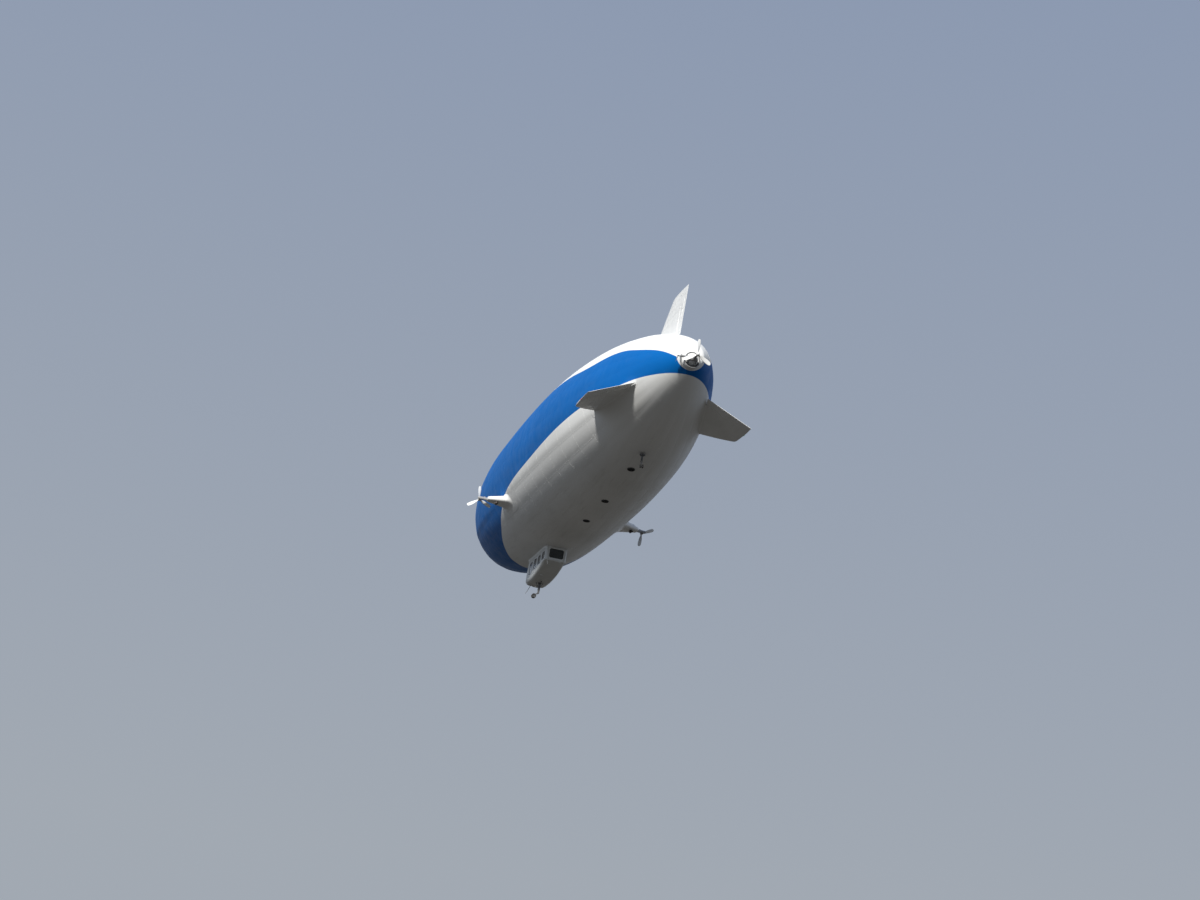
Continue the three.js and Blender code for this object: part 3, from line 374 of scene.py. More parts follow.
class Form:
    """Gathers surfaces. Points pass through the matrix as they come in."""

    def __init__(self, matrix=None):
        self.matrix = matrix or Matrix.Identity(4)
        self.points = []
        self.faces = []

    def sheet(self, rows, around=False, ends=False):
        """Joins rows of points. The rows may close on themselves, and both ends may be filled."""
        start = len(self.points)
        width = len(rows[0])
        for row in rows:
            self.points.extend(self.matrix @ Vector(p) for p in row)
        for i in range(len(rows) - 1):
            for j in range(width if around else width - 1):
                a = start + i * width + j
                b = start + i * width + (j + 1) % width
                self.faces.append((a, b, b + width, a + width))
        if ends:
            last = start + (len(rows) - 1) * width
            self.faces.append(tuple(range(start + width - 1, start - 1, -1)))
            self.faces.append(tuple(range(last, last + width)))
        return self

    def turned(self, profile, axis, origin, sides):
        """Profile columns: radius, distance along the axis."""
        rows = []
        for radius, along in profile:
            row = []
            for j in range(sides):
                a = 2 * math.pi * j / sides
                c, s = radius * math.cos(a), radius * math.sin(a)
                local = {"x": (along, c, s), "y": (s, along, c), "z": (c, s, along)}[axis]
                row.append([o + v for o, v in zip(origin, local)])
            rows.append(row)
        return self.sheet(rows, around=True)

    def rod(self, radius, axis, low, high, origin, sides):
        edge = min(radius * 0.15, (high - low) * 0.3)
        return self.turned([(0, low), (radius - edge, low), (radius, low + edge), (radius, high - edge),
                            (radius - edge, high), (0, high)], axis, origin, sides)

    def slab(self, x, y, z, corner):
        """A box with rounded edges between the pairs x, y and z."""
        rows = []
        half = min(corner, (z[1] - z[0]) * 0.45)
        corner = min(corner, (x[1] - x[0]) * 0.45, (y[1] - y[0]) * 0.45)
        for level, inset in ((z[0], half), (z[0] + half * 0.3, half * 0.3), (z[0] + half, 0),
                             (z[1] - half, 0), (z[1] - half * 0.3, half * 0.3), (z[1], half)):
            inset = min(inset, corner * 0.9)
            outline = rounded(x[0] + inset, x[1] - inset, y[0] + inset, y[1] - inset,
                              corner - inset * 0.9, 3)
            rows.append([(u, v, level) for u, v in outline])
        return self.sheet(rows, around=True, ends=True)

    def tube(self, path, radius, sides, closed=False, flat=1.0):
        """A tube along the path. The radius may be a number or one number a point."""
        path = [Vector(p) for p in path]
        count = len(path)
        radii = radius if isinstance(radius, (list, tuple)) else [radius] * count
        rows = []
        side = None
        for i, point in enumerate(path):
            before = path[i - 1] if (i > 0 or closed) else point
            after = path[(i + 1) % count] if (i < count - 1 or closed) else point
            forward = (after - before).normalized()
            if side is None:
                seed = Vector((0, 0, 1)) if abs(forward.z) < 0.9 else Vector((1, 0, 0))
                side = forward.cross(seed).normalized()
            side = (side - forward * side.dot(forward)).normalized()
            up = forward.cross(side)
            turns = [2 * math.pi * j / sides for j in range(sides)]
            rows.append([point + (side * math.cos(a) + up * flat * math.sin(a)) * radii[i] for a in turns])
        if closed:
            rows.append(rows[0])
        return self.sheet(rows, around=True, ends=not closed)

    def bolts(self, centres, axis, size, height):
        for centre in centres:
            self.turned([(0, 0), (size, 0), (size, height * 0.6), (size * 0.7, height), (0, height)],
                        axis, centre, 6)

    def bolt_circle(self, centre, radius, count, axis, size, height, start=0.0):
        """Bolts round a circle that faces along the axis. The start is a share of their spacing."""
        x, y, z = centre
        for k in range(count):
            a = 2 * math.pi / count * (k + start)
            u, v = radius * math.cos(a), radius * math.sin(a)
            place = {"x": (x, y + u, z + v), "y": (x + u, y, z + v), "z": (x + u, y + v, z)}[axis]
            self.bolts([place], axis, size, height)

    def object(self, name):
        mesh = bpy.data.meshes.new(name)
        mesh.from_pydata([at(p) for p in self.points], [], self.faces)
        made = bpy.data.objects.new(name, mesh)
        bpy.context.scene.collection.objects.link(made)
        return made

    def piece(self, name, looks, body="airframe", **options):
        return dress(self.object(name), looks, body, **options)


def cleaned(made):
    """Merges points that meet, drops faces without area and turns all faces outwards."""
    shape = bmesh.new()
    shape.from_mesh(made.data)
    bmesh.ops.remove_doubles(shape, verts=shape.verts, dist=1e-5)
    bmesh.ops.dissolve_degenerate(shape, edges=shape.edges, dist=1e-5)
    bmesh.ops.recalc_face_normals(shape, faces=shape.faces)
    shape.to_mesh(made.data)
    shape.free()
    return made


def dress(made, looks, body="airframe", replaces=(), slot=None, sharp=38.0):
    """Cleans and smooths the mesh, gives it its looks and puts the piece on its body."""
    shape = bmesh.new()
    shape.from_mesh(cleaned(made).data)
    limit = math.radians(sharp)
    for face in shape.faces:
        face.smooth = True
    for edge in shape.edges:
        edge.smooth = len(edge.link_faces) == 2 and edge.calc_face_angle(0.0) < limit
    shape.to_mesh(made.data)
    shape.free()
    names = [looks] if isinstance(looks, str) else looks
    marks = [min(face.material_index, len(names) - 1) for face in made.data.polygons]
    made.data.materials.clear()
    for name in names:
        made.data.materials.append(LOOKS[name])
    made.data.polygons.foreach_set("material_index", marks)
    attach(made, body)
    if replaces:
        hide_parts(*([replaces] if isinstance(replaces, str) else replaces))
    return made


def settled(made):
    """Turns the object's modifiers into its mesh."""
    bpy.context.view_layer.update()
    graph = bpy.context.evaluated_depsgraph_get()
    mesh = bpy.data.meshes.new_from_object(made.evaluated_get(graph))
    made.modifiers.clear()
    made.data = mesh
    return made


def cut(made, outline, axis, reach, operation="DIFFERENCE"):
    """Cuts a prism with that outline along X or Y out of the shape, or keeps only what lies in it."""
    rows = [[(level, u, v) if axis == "x" else (u, level, v) for u, v in outline] for level in reach]
    cutter = cleaned(Form().sheet(rows, around=True, ends=True).object("cutter"))
    step = made.modifiers.new("cut", "BOOLEAN")
    step.object = cutter
    step.operation = operation
    step.solver = "EXACT"
    settled(made)
    bpy.data.objects.remove(cutter)
    return made


def lerp(a, b, t):
    return a + (b - a) * t


# Hull

HULL_RADIUS = 7.08
WIDEST_Y = 27.4
CLOSING_Y = 74.2
NOSE_POWER = 2.274
TAIL_POWER = 3.0
TAIL_FINENESS = 0.685
NOSE_RING_Y = 0.35
TAIL_RING_Y = 71.6
STERN_Y = 73.3
GORES = 24
HULL_SIDES = 192
CONE_SIDES = 144
RING_LIP = 0.06
LONGERON_ANGLES = (90.0, -26.0, 206.0)


def hull_radius(y):
    if y <= WIDEST_Y:
        return HULL_RADIUS * math.sqrt(max(1 - ((WIDEST_Y - y) / WIDEST_Y) ** NOSE_POWER, 0))
    behind = (y - WIDEST_Y) / (CLOSING_Y - WIDEST_Y)
    return HULL_RADIUS * max(1 - behind ** TAIL_POWER, 0) ** TAIL_FINENESS


def hull_point(y, angle, out):
    """A point on the hull. The angle starts on the port side and grows towards the top."""
    a = math.radians(angle)
    slope = (hull_radius(y + 0.02) - hull_radius(max(y - 0.02, 0.0))) / 0.04
    size = math.hypot(1, slope)
    r = hull_radius(y) + out / size
    return Vector((r * math.cos(a), y - out * slope / size, r * math.sin(a)))


def hull_relief(y, angle):
    """Gores belly out between their seams, and three longerons press the skin from inside."""
    fade = min(max((y - 0.5) / 5, 0), 1) * min(max((71.5 - y) / 5, 0), 1)
    pillow = abs(math.sin(math.radians(angle) * GORES / 2)) ** 0.8
    out = -0.02 * fade * (1 - pillow)
    for longeron in LONGERON_ANGLES:
        off = abs((angle - longeron + 180) % 360 - 180)
        across_skin = math.radians(off) * max(hull_radius(y), 0.5)
        out += 0.03 * fade * math.exp(-((across_skin / 0.4) ** 2))
    return out


def skin_point(y, angle, out):
    return hull_point(y, angle, hull_relief(y, angle) + out)


def hull_ring(point_at, y, sides, out=0.0):
    """Points all round the hull, from hull_point or skin_point."""
    return [point_at(y, 360 * j / sides, out) for j in range(sides)]


def hull_stations(first, last, count):
    """Y values that stand closer together towards both ends of the hull."""
    def phase(y):
        return math.acos(1 - 2 * y / CLOSING_Y)
    low, high = phase(first), phase(last)
    return [CLOSING_Y / 2 * (1 - math.cos(lerp(low, high, i / count))) for i in range(count + 1)]


def build_hull():
    skin = Form()
    stations = hull_stations(NOSE_RING_Y, TAIL_RING_Y, 170)
    skin.sheet([hull_ring(skin_point, y, HULL_SIDES) for y in stations], around=True)
    # The skin turns inwards at both rings.
    for y, inward in ((NOSE_RING_Y, 0.05), (TAIL_RING_Y, -0.05)):
        skin.sheet([hull_ring(skin_point, y, HULL_SIDES),
                    hull_ring(skin_point, y + inward, HULL_SIDES, -RING_LIP)], around=True)
    skin.piece("hull_skin", "envelope", replaces="envelope", sharp=60)

    tapes = Form()
    seam_ys = hull_stations(NOSE_RING_Y + 0.4, TAIL_RING_Y - 0.15, 110)
    for gore in range(GORES):
        angle = 360 * gore / GORES
        rows = []
        for y in seam_ys:
            half = math.degrees(0.035 / max(hull_radius(y), 0.4))
            tape = strip(half, half * 0.9, 0.0025, 0.002)
            rows.append([skin_point(y, angle + off, out) for off, out in tape])
        tapes.sheet(rows)
    tapes.piece("gore_seam_tapes", "envelope", sharp=20)

    rings = Form()
    for y in [3.2 + i * 3.3 for i in range(21)] + [TAIL_RING_Y - 0.1]:
        rings.sheet([hull_ring(skin_point, y + dy, HULL_SIDES, out)
                     for dy, out in strip(0.035, 0.031, 0.003, 0.002)], around=True)
    rings.piece("cross_seam_tapes", "envelope", sharp=20)


PATCH_LIFT = 0.006
PATCH_CELLS = 14
LOOP_STATIONS = (4.6, 9.2)
JOINT_HALF_WIDTH = 0.09
JOINT_LIFT = 0.012
RIVETS = 36


def hull_patch(form, y0, y1, a0, a1, corner):
    """A doubler glued on the skin, with round corners and a bevelled rim."""
    mid_radius = hull_radius((y0 + y1) / 2)
    span = math.radians(a1 - a0) * mid_radius
    outline = rounded(-(y1 - y0) / 2, (y1 - y0) / 2, -span / 2, span / 2, corner, 6)
    rows = []
    inner = [(1 - k / PATCH_CELLS, PATCH_LIFT) for k in range(1, PATCH_CELLS + 1)]
    for share, out in [(1.0, -0.004), (0.985, PATCH_LIFT)] + inner:
        row = []
        for u, v in outline:
            angle = (a0 + a1) / 2 + math.degrees(v * share / mid_radius)
            row.append(skin_point((y0 + y1) / 2 + u * share, angle, out))
        rows.append(row)
    form.sheet(rows, around=True)


def build_hull_fittings():
    patches = Form()
    # Doublers under the pods and round the ground crew's loops, then under the gondola and the fins
    for pod_angles, loop_angles in (((-44, -24), (18, 52)), ((204, 224), (162, 128))):
        hull_patch(patches, 29.2, 35.0, *pod_angles, 0.7)
        for angle in loop_angles:
            for y in LOOP_STATIONS:
                hull_patch(patches, y - 0.35, y + 0.35, angle - 3.2, angle + 3.2, 0.28)
    hull_patch(patches, 19.4, 32.2, -102, -78, 0.9)
    for angle in LONGERON_ANGLES:
        hull_patch(patches, 60.6, 68.4, angle - 6, angle + 6, 0.3)
    for y in (12.5, 37.5, 46.5, 54.0, 63.5):
        hull_patch(patches, y - 0.4, y + 0.4, -92.5, -87.5, 0.2)
    patches.piece("hull_doublers", "envelope", sharp=60)

    # Loops for the ground crew's lines, each a webbing strap under its patch
    loops = Form()
    for angle in (18, 52, 128, 162):
        for y in LOOP_STATIONS:
            path = [skin_point(y + dy, angle, out) for dy, out in
                    ((-0.2, 0.0), (-0.17, 0.03), (-0.08, 0.06), (0.08, 0.06), (0.17, 0.03), (0.2, 0.0))]
            loops.tube(path, 0.018, 8, flat=0.5)
    loops.piece("handling_loops", "dark", slot="envelope_fabric")

    # A riveted frame round the nose cone's joint
    joint = Form()
    joint.sheet([hull_ring(hull_point, NOSE_RING_Y + dy, CONE_SIDES, out)
                 for dy, out in strip(JOINT_HALF_WIDTH, JOINT_HALF_WIDTH * 0.8, JOINT_LIFT, 0.004)],
                 around=True)
    aft = Vector((0, 1, 0))
    for j in range(RIVETS):
        angle = 360 / RIVETS * j
        centre = hull_point(NOSE_RING_Y, angle, JOINT_LIFT)
        radial = Vector((math.cos(math.radians(angle)), 0, math.sin(math.radians(angle))))
        ring = []
        for k in range(8):
            a = 2 * math.pi * k / 8
            ring.append(centre + (aft * math.cos(a) + radial.cross(aft) * math.sin(a)) * 0.018)
        joint.sheet([ring, [p + radial * 0.012 for p in ring]], around=True, ends=True)
    joint.piece("nose_joint_ring", "envelope")


NOSE_TIP_Y = 0.02
# The cap's round end. Columns: share of its radius, distance behind the last ring
TAIL_DOME = [(0.97, 0.035), (0.86, 0.1), (0.74, 0.15), (0.6, 0.19), (0.45, 0.22), (0.3, 0.238), (0, 0.25)]


def build_cones():
    nose = Form()
    rows = [[p * 0.3 + Vector((0, 0.014, 0)) for p in hull_ring(hull_point, NOSE_TIP_Y, CONE_SIDES)]]
    rows += [hull_ring(hull_point, y, CONE_SIDES) for y in hull_stations(NOSE_TIP_Y, NOSE_RING_Y, 14)]
    rows.append(hull_ring(hull_point, NOSE_RING_Y, CONE_SIDES, -RING_LIP))
    rows.append([Vector((0, NOSE_RING_Y + 0.05, 0))] * CONE_SIDES)
    nose.sheet(rows, around=True)
    nose.piece("nose_cap", "envelope", replaces="nose_cone", slot="blue_shell", sharp=50)

    tail = Form()
    rows = [hull_ring(hull_point, y, CONE_SIDES) for y in hull_stations(TAIL_RING_Y, STERN_Y, 16)]
    for share, back in TAIL_DOME:
        radius = share * hull_radius(STERN_Y)
        angles = [2 * math.pi * j / CONE_SIDES for j in range(CONE_SIDES)]
        rows.append([Vector((radius * math.cos(a), STERN_Y + back, radius * math.sin(a))) for a in angles])
    tail.sheet(rows, around=True)
    tail.piece("tail_cap", "envelope", replaces="tail_cone", slot="white_shell", sharp=50)


build_hull()
build_hull_fittings()
build_cones()


# Tail fins, made standing on the hull and turned about its axis

HINGE_Y = 67.5
TRAILING_Y = 68.9
ROOT_TRAILING_Y = 68.25
ROOT_TRAILING_HEIGHT = 2.0
FIN_TIP = 7.7
RUDDER_TIP = 7.63
ROOT_THICKNESS = 0.46
TIP_THICKNESS = 0.17
RUDDER_NOSE = 0.06
# A turned rudder's foot swings ahead, where the hull is wider.
RUDDER_SWING = 0.88
RUDDER_CLEARANCE = 0.06
FIN_LEADING_EDGE = [(2.6, 58.3), (4.7, 60.9), (6.38, 62.95), (7.3, 64.2), (7.62, 64.75), (7.7, 65.3)]
# Columns: name, angle, CAD name of the rudder, rudder's body, light's look
FINS = [
    ("top", 90.0, "top_rudder", "top_rudder_body", "clear"),
    ("port", -26.0, "port_tail_flap", "port_flap_body", "red"),
    ("starboard", 206.0, "starboard_tail_flap", "starboard_flap_body", "green"),
]
FIN_STATIONS = [2.6, 3.4, 4.2] + [4.6 + 0.1 * i for i in range(26)]
FIN_STATIONS += [7.2, 7.28, 7.36, 7.44, 7.5, 7.56, 7.61]
FIN_BANDS = (5.35, 5.9, 6.45, 7.0)
FIN_RIBS = (0.3, 0.62)
FIN_STRIP = strip(0.035, 0.028, 0.006, 0.003)
FILLET_START_Y = 61.2
FILLET_SIZE = 0.16
RUDDER_BANDS = (4.6, 5.4, 6.2, 7.0)
RUDDER_STRIP = strip(0.03, 0.024, 0.005, 0.003)
RUDDER_EDGE = 0.01
TAB_LOW = 5.0
TAB_HIGH = 6.6
TAB_CHORD = 0.45
HORN_HEIGHT = 5.8
BRACKETS = (4.9, 6.1, 7.25)
LIGHT_Y = 66.95


def fin_thickness(height):
    share = (height - FIN_LEADING_EDGE[0][0]) / (FIN_TIP - FIN_LEADING_EDGE[0][0])
    return lerp(ROOT_THICKNESS, TIP_THICKNESS, share)


def fin_half(height, y):
    """Half the fin's thickness at that height and place along its chord."""
    lead = smooth_table(FIN_LEADING_EDGE, height)[0]
    chord = (HINGE_Y - RUDDER_NOSE * 0.6 - lead) * 1.22
    along = min(max((y - lead) / chord, 0.0), 0.999)
    return 0.5 * fin_thickness(height) * math.sin(math.pi * along ** 0.62) ** 0.75


OUTLINE_POINTS = 18


def fin_outline(height, squeeze=1.0):
    """A ring round the fin at that height, from its back edge over the nose to the back again."""
    lead = smooth_table(FIN_LEADING_EDGE, height)[0]
    back = HINGE_Y - RUDDER_NOSE * 0.6
    ring = []
    for i in range(OUTLINE_POINTS + 1):
        y = lead + (back - lead) * (1 - math.cos(math.pi / 2 * (1 - i / OUTLINE_POINTS)))
        ring.append((fin_half(height, y) * squeeze, y, height))
    for i in range(OUTLINE_POINTS):
        y = lead + (back - lead) * (1 - math.cos(math.pi / 2 * (i + 1) / OUTLINE_POINTS))
        ring.append((-fin_half(height, y) * squeeze, y, height))
    return ring


def on_fin(height, y, side, out):
    return (side * (fin_half(height, y) + out), y, height)


def rudder_chord(height, along=1.0):
    """From the hinge to the trailing edge, which slants; the nose ahead of the hinge is round."""
    if along <= 0:
        return TRAILING_Y - HINGE_Y
    return lerp(ROOT_TRAILING_Y, TRAILING_Y,
                (height - ROOT_TRAILING_HEIGHT) / (RUDDER_TIP - ROOT_TRAILING_HEIGHT)) - HINGE_Y


def rudder_section():
    """Half thickness and share of the chord, round the rudder from its trailing edge."""
    nose = RUDDER_NOSE / (TRAILING_Y - HINGE_Y)
    section = [(lerp(RUDDER_EDGE, RUDDER_NOSE, i / 10), 1 - i / 10) for i in range(10)]
    for degrees in range(0, 181, 15):
        a = math.radians(degrees)
        section.append((RUDDER_NOSE * math.cos(a), -nose * math.sin(a)))
    return section + [(-lerp(RUDDER_NOSE, RUDDER_EDGE, i / 10), i / 10) for i in range(1, 11)]


def build_fin_skin(name, turn):
    fin = Form(turn)
    rows = [fin_outline(h) for h in FIN_STATIONS]
    for step in (0.35, 0.6, 0.8, 0.93, 1.0):
        height = lerp(FIN_STATIONS[-1], 7.695, step)
        rows.append(fin_outline(height, math.sqrt(max(1 - step ** 2, 0.0009))))
    fin.sheet(rows, around=True, ends=True)
    fin.piece(f"{name}_fin_skin", "fin", replaces=f"{name}_fin", sharp=40)

    # Lap joints and ribs under the skin show as raised bands.
    bands = Form(turn)
    for side in (-1, 1):
        for height in FIN_BANDS:
            lead = smooth_table(FIN_LEADING_EDGE, height)[0] + 0.25
            rows = []
            for i in range(25):
                y = lerp(lead, HINGE_Y - 0.1, i / 24)
                rows.append([on_fin(height + off, y, side, out) for off, out in FIN_STRIP])
            bands.sheet(rows)
        for share in FIN_RIBS:
            rows = []
            for i in range(25):
                height = lerp(4.7, 7.45, i / 24)
                y = lerp(smooth_table(FIN_LEADING_EDGE, height)[0], HINGE_Y, share)
                rows.append([on_fin(height, y + off, side, out) for off, out in FIN_STRIP])
            bands.sheet(rows)
    bands.piece(f"{name}_fin_seams", "fin", sharp=80)

    # A soft fillet where the fin grows out of the hull
    fillet = Form(turn)
    for side in (-1, 1):
        rows = []
        for i in range(41):
            y = lerp(FILLET_START_Y, HINGE_Y - 0.02, i / 40)
            foot = hull_radius(y)
            half = fin_half(foot, y)
            size = FILLET_SIZE * min(1, half / 0.08 + 0.1)
            row = []
            for k in range(7):
                a = math.radians(90 * k / 6)
                x = half + size * (1 - math.sin(a)) - 0.004
                z = size * (1 - math.cos(a))
                row.append((side * x, y, math.sqrt(max(foot ** 2 - x ** 2, 0)) + z - 0.004))
            rows.append(row)
        fillet.sheet(rows)
    fillet.piece(f"{name}_fin_fillet", "fin", sharp=80)


def rudder_foot(along):
    """The height of the rudder's foot, clear of the hull when the rudder is turned."""
    foot = FIN_LEADING_EDGE[0][0]
    for _ in range(SETTLING_PASSES):
        foot = hull_radius(HINGE_Y + along * rudder_chord(foot, along) * RUDDER_SWING) + RUDDER_CLEARANCE
    return foot


def build_rudder(name, turn, node, body):
    """A rudder with a round nose in the fin's cove and a blunt trailing edge."""
    rudder = Form(turn)
    rows = []
    stations = [0.0, 0.01, 0.03] + [0.08 + 0.07 * i for i in range(13)] + [0.96, 0.985, 1.0]
    for share in stations:
        squeeze = 1.0
        if share > 0.93:
            squeeze = math.sqrt(max(1 - ((share - 0.93) / 0.07) ** 2 * 0.9, 0.1))
        if share < 0.03:
            squeeze = 0.75 + 0.25 * share / 0.03
        ring = []
        for x, along in rudder_section():
            top = lerp(FIN_TIP, RUDDER_TIP, max(along, 0)) - 0.004
            height = lerp(rudder_foot(along), top, share)
            ring.append((x * squeeze, HINGE_Y + along * rudder_chord(height, along), height))
        rows.append(ring)
    rudder.sheet(rows, around=True, ends=True)
    rudder.piece(f"{name}_rudder_skin", "fin", body, replaces=node, sharp=50)

    trim = Form(turn)
    for side in (-1, 1):
        for height in RUDDER_BANDS:
            chord = rudder_chord(height)
            rows = []
            for i in range(9):
                y = lerp(0.1, chord - 0.05, i / 8)
                half = lerp(RUDDER_NOSE, RUDDER_EDGE, y / chord)
                rows.append([(side * (half + out), HINGE_Y + y, height + off) for off, out in RUDDER_STRIP])
            trim.sheet(rows)
        # The trim tab's edges and its hinge line
        hinge = []
        for height in (TAB_LOW, TAB_HIGH):
            back = HINGE_Y + rudder_chord(height)
            hinge.append((side * 0.03, back - TAB_CHORD, height))
            trim.tube([hinge[-1], (side * 0.012, back - 0.02, height)], 0.008, 6)
        trim.tube(hinge, 0.012, 8)
    # The horn that drives the tab
    back = HINGE_Y + rudder_chord(HORN_HEIGHT)
    trim.tube([(x, back - ahead, HORN_HEIGHT) for x, ahead in ((0.05, 0.9), (0.1, 0.7), (0.06, 0.4))],
              0.014, 8)
    trim.piece(f"{name}_rudder_trim", "fin", body, sharp=50)


def build_fin(name, angle, rudder_node, rudder_body, light_look):
    turn = Matrix.Rotation(math.radians(90 - angle), 4, "Y")
    build_fin_skin(name, turn)
    build_rudder(name, turn, rudder_node, rudder_body)

    brackets = Form(turn)
    for height in BRACKETS:
        for side in (-1, 1):
            half = fin_half(height, HINGE_Y - 0.25)
            brackets.slab((side * half - 0.02, side * half + 0.02), (HINGE_Y - 0.34, HINGE_Y - 0.09),
                          (height - 0.04, height + 0.04), 0.012)
            centres = [(side * (half + 0.015), HINGE_Y - 0.28 + dy, height) for dy in (0, 0.12)]
            brackets.bolts(centres, "x", 0.014, 0.012)
    brackets.piece(f"{name}_hinge_brackets", "fin", slot="grey_metal", sharp=35)

    light = Form(turn)
    light.turned([(0, -0.14), (0.02, -0.135), (0.036, -0.08), (0.036, 0.02), (0.028, 0.08), (0, 0.12)], "y",
                 (0, LIGHT_Y, FIN_TIP - 0.005), 16)
    light.piece(f"{name}_fin_light", light_look)


for fin in FINS:
    build_fin(*fin)


# Propellers, made with the shaft along Y and the first blade up, at the hub's place

# Columns: share of the tip radius, chord, thickness, twist in degrees
BLADE = [
    (0.06, 0.11, 0.1, 62), (0.12, 0.13, 0.1, 56), (0.25, 0.24, 0.06, 48), (0.5, 0.33, 0.045, 34),
    (0.8, 0.34, 0.035, 24),
    (0.93, 0.27, 0.029, 20.6), (0.98, 0.19, 0.024, 19.3), (1.0, 0.08, 0.018, 19),
]
BLADE_REFERENCE = 1.35
BLADE_POINTS = 12
BLADES = 3


def blade_rows(tip, first=0.06, last=1.0, lift=0.0, only=1.0, count=30):
    """Rings along a blade, or along the front share of its chord that a strip covers."""
    size = tip / BLADE_REFERENCE
    rows = []
    for i in range(count + 1):
        share = lerp(first, last, i / count)
        chord, thick, twist = smooth_table(BLADE, share)
        turn = math.radians(90 - twist)
        round_root = min(max((0.2 - share) / 0.12, 0), 1)
        ring = []
        outline = []
        for k in range(BLADE_POINTS + 1):
            along = (1 - math.cos(math.pi * k / BLADE_POINTS)) / 2
            wing = 0.5 * math.sin(math.pi * along ** 0.62) ** 0.75
            circle = math.sqrt(max(0.25 - (along - 0.5) ** 2, 0))
            outline.append((along, lerp(wing, circle, round_root)))
        outline += [(u, -v) for u, v in outline[-2:0:-1]]
        for u, v in outline:
            if u > only:
                u, v = only, math.copysign(min(abs(v), 0.3), v)
            along = (u - 0.45) * chord * size
            side = v * (thick * size + 2 * lift)
            if u < 0.02:
                along -= lift
            ring.append((side * math.cos(turn) + along * math.sin(turn),
                         along * math.cos(turn) - side * math.sin(turn), share * tip))
        rows.append(ring)
    return rows


def propeller(name, body, tip, hub_matrix, first, hub_profile):
    """The angle of the first blade is in degrees. Hub columns: radius, Y."""
    spin = hub_matrix @ Matrix.Rotation(math.radians(first), 4, "Y")
    blades = Form()
    strips = Form()
    cuffs = Form()
    for i in range(BLADES):
        turn = spin @ Matrix.Rotation(2 * math.pi * i / BLADES, 4, "Y")
        for form in (blades, strips, cuffs):
            form.matrix = turn
        blades.sheet(blade_rows(tip), around=True, ends=True)
        strips.sheet(blade_rows(tip, 0.35, 0.96, 0.0015, 0.1, 16), around=True, ends=True)
        size = tip / BLADE_REFERENCE
        cuffs.turned([(0.05 * size, 0.06 * tip), (0.066 * size, 0.07 * tip), (0.066 * size, 0.125 * tip),
                      (0.056 * size, 0.14 * tip), (0.04 * size, 0.142 * tip)], "z", (0, 0, 0), 20)
    blades.piece(f"{name}_blades", "white", body, replaces=name, sharp=50)
    strips.piece(f"{name}_erosion_strips", "bare", body, sharp=50)
    cuffs.piece(f"{name}_blade_cuffs", "steel", body)
    hub = Form(spin)
    hub.turned(hub_profile, "y", (0, 0, 0), 48)
    hub.piece(f"{name}_hub", "white", body, sharp=35)


# Side engines

# The pod's two ends. Columns: X, front, back, middle's Z, height
POD_ROOT = (5.55, 30.2, 33.8, -3.8, 0.98)
POD_TIP = (7.8, 30.54, 31.6, -3.68, 0.4)
POD_POWER = 2.9
POD_POINTS = 64
POD_ROUNDING_X = 7.62
POD_STRIP = strip(0.022, 0.017, 0.006, 0.003)
POD_JOINTS = (6.18, 6.95, 7.56)
# Columns: inner X, outer X, height
INTAKES = [(6.35, 6.85, 0.26), (7.02, 7.38, 0.17)]
LOUVRES = (6.25, 6.55, 6.85)
EXHAUST_X = 6.95
EXHAUST_BANDS = (31.72, 32.02)
# How the fairing's rings widen and climb on to the pod. Columns: growth, distance out from the hull
FAIRING = [(0.32, -0.02), (0.22, 0.015), (0.13, 0.06), (0.06, 0.13), (0.018, 0.22), (-0.008, 0.32)]
SWIVEL_Y = 30.99
SWIVEL_Z = -3.7
HUB_X = 8.46


def pod_section(x):
    """Front, back, middle Z and height of the pod at that distance from the hull's axis."""
    share = (x - POD_ROOT[0]) / (POD_TIP[0] - POD_ROOT[0])
    return [lerp(a, b, share) for a, b in zip(POD_ROOT[1:], POD_TIP[1:])]


def pod_ring(x, shrink=0.0):
    front, back, middle, height = pod_section(x)
    ring = []
    for i in range(POD_POINTS):
        u, v = squared(2 * math.pi * i / POD_POINTS, 2 / POD_POWER)
        ring.append((x, (front + back) / 2 + u * (back - front - 2 * shrink) / 2,
                     middle + v * (height - 2 * shrink) / 2))
    return ring


def pod_face(x, y):
    """The pod's upper and lower Z there."""
    front, back, middle, height = pod_section(x)
    half = (back - front) / 2
    u = min(abs(y - (front + back) / 2) / half, 0.999)
    rise = (1 - u ** POD_POWER) ** (1 / POD_POWER) * height / 2
    return middle + rise, middle - rise


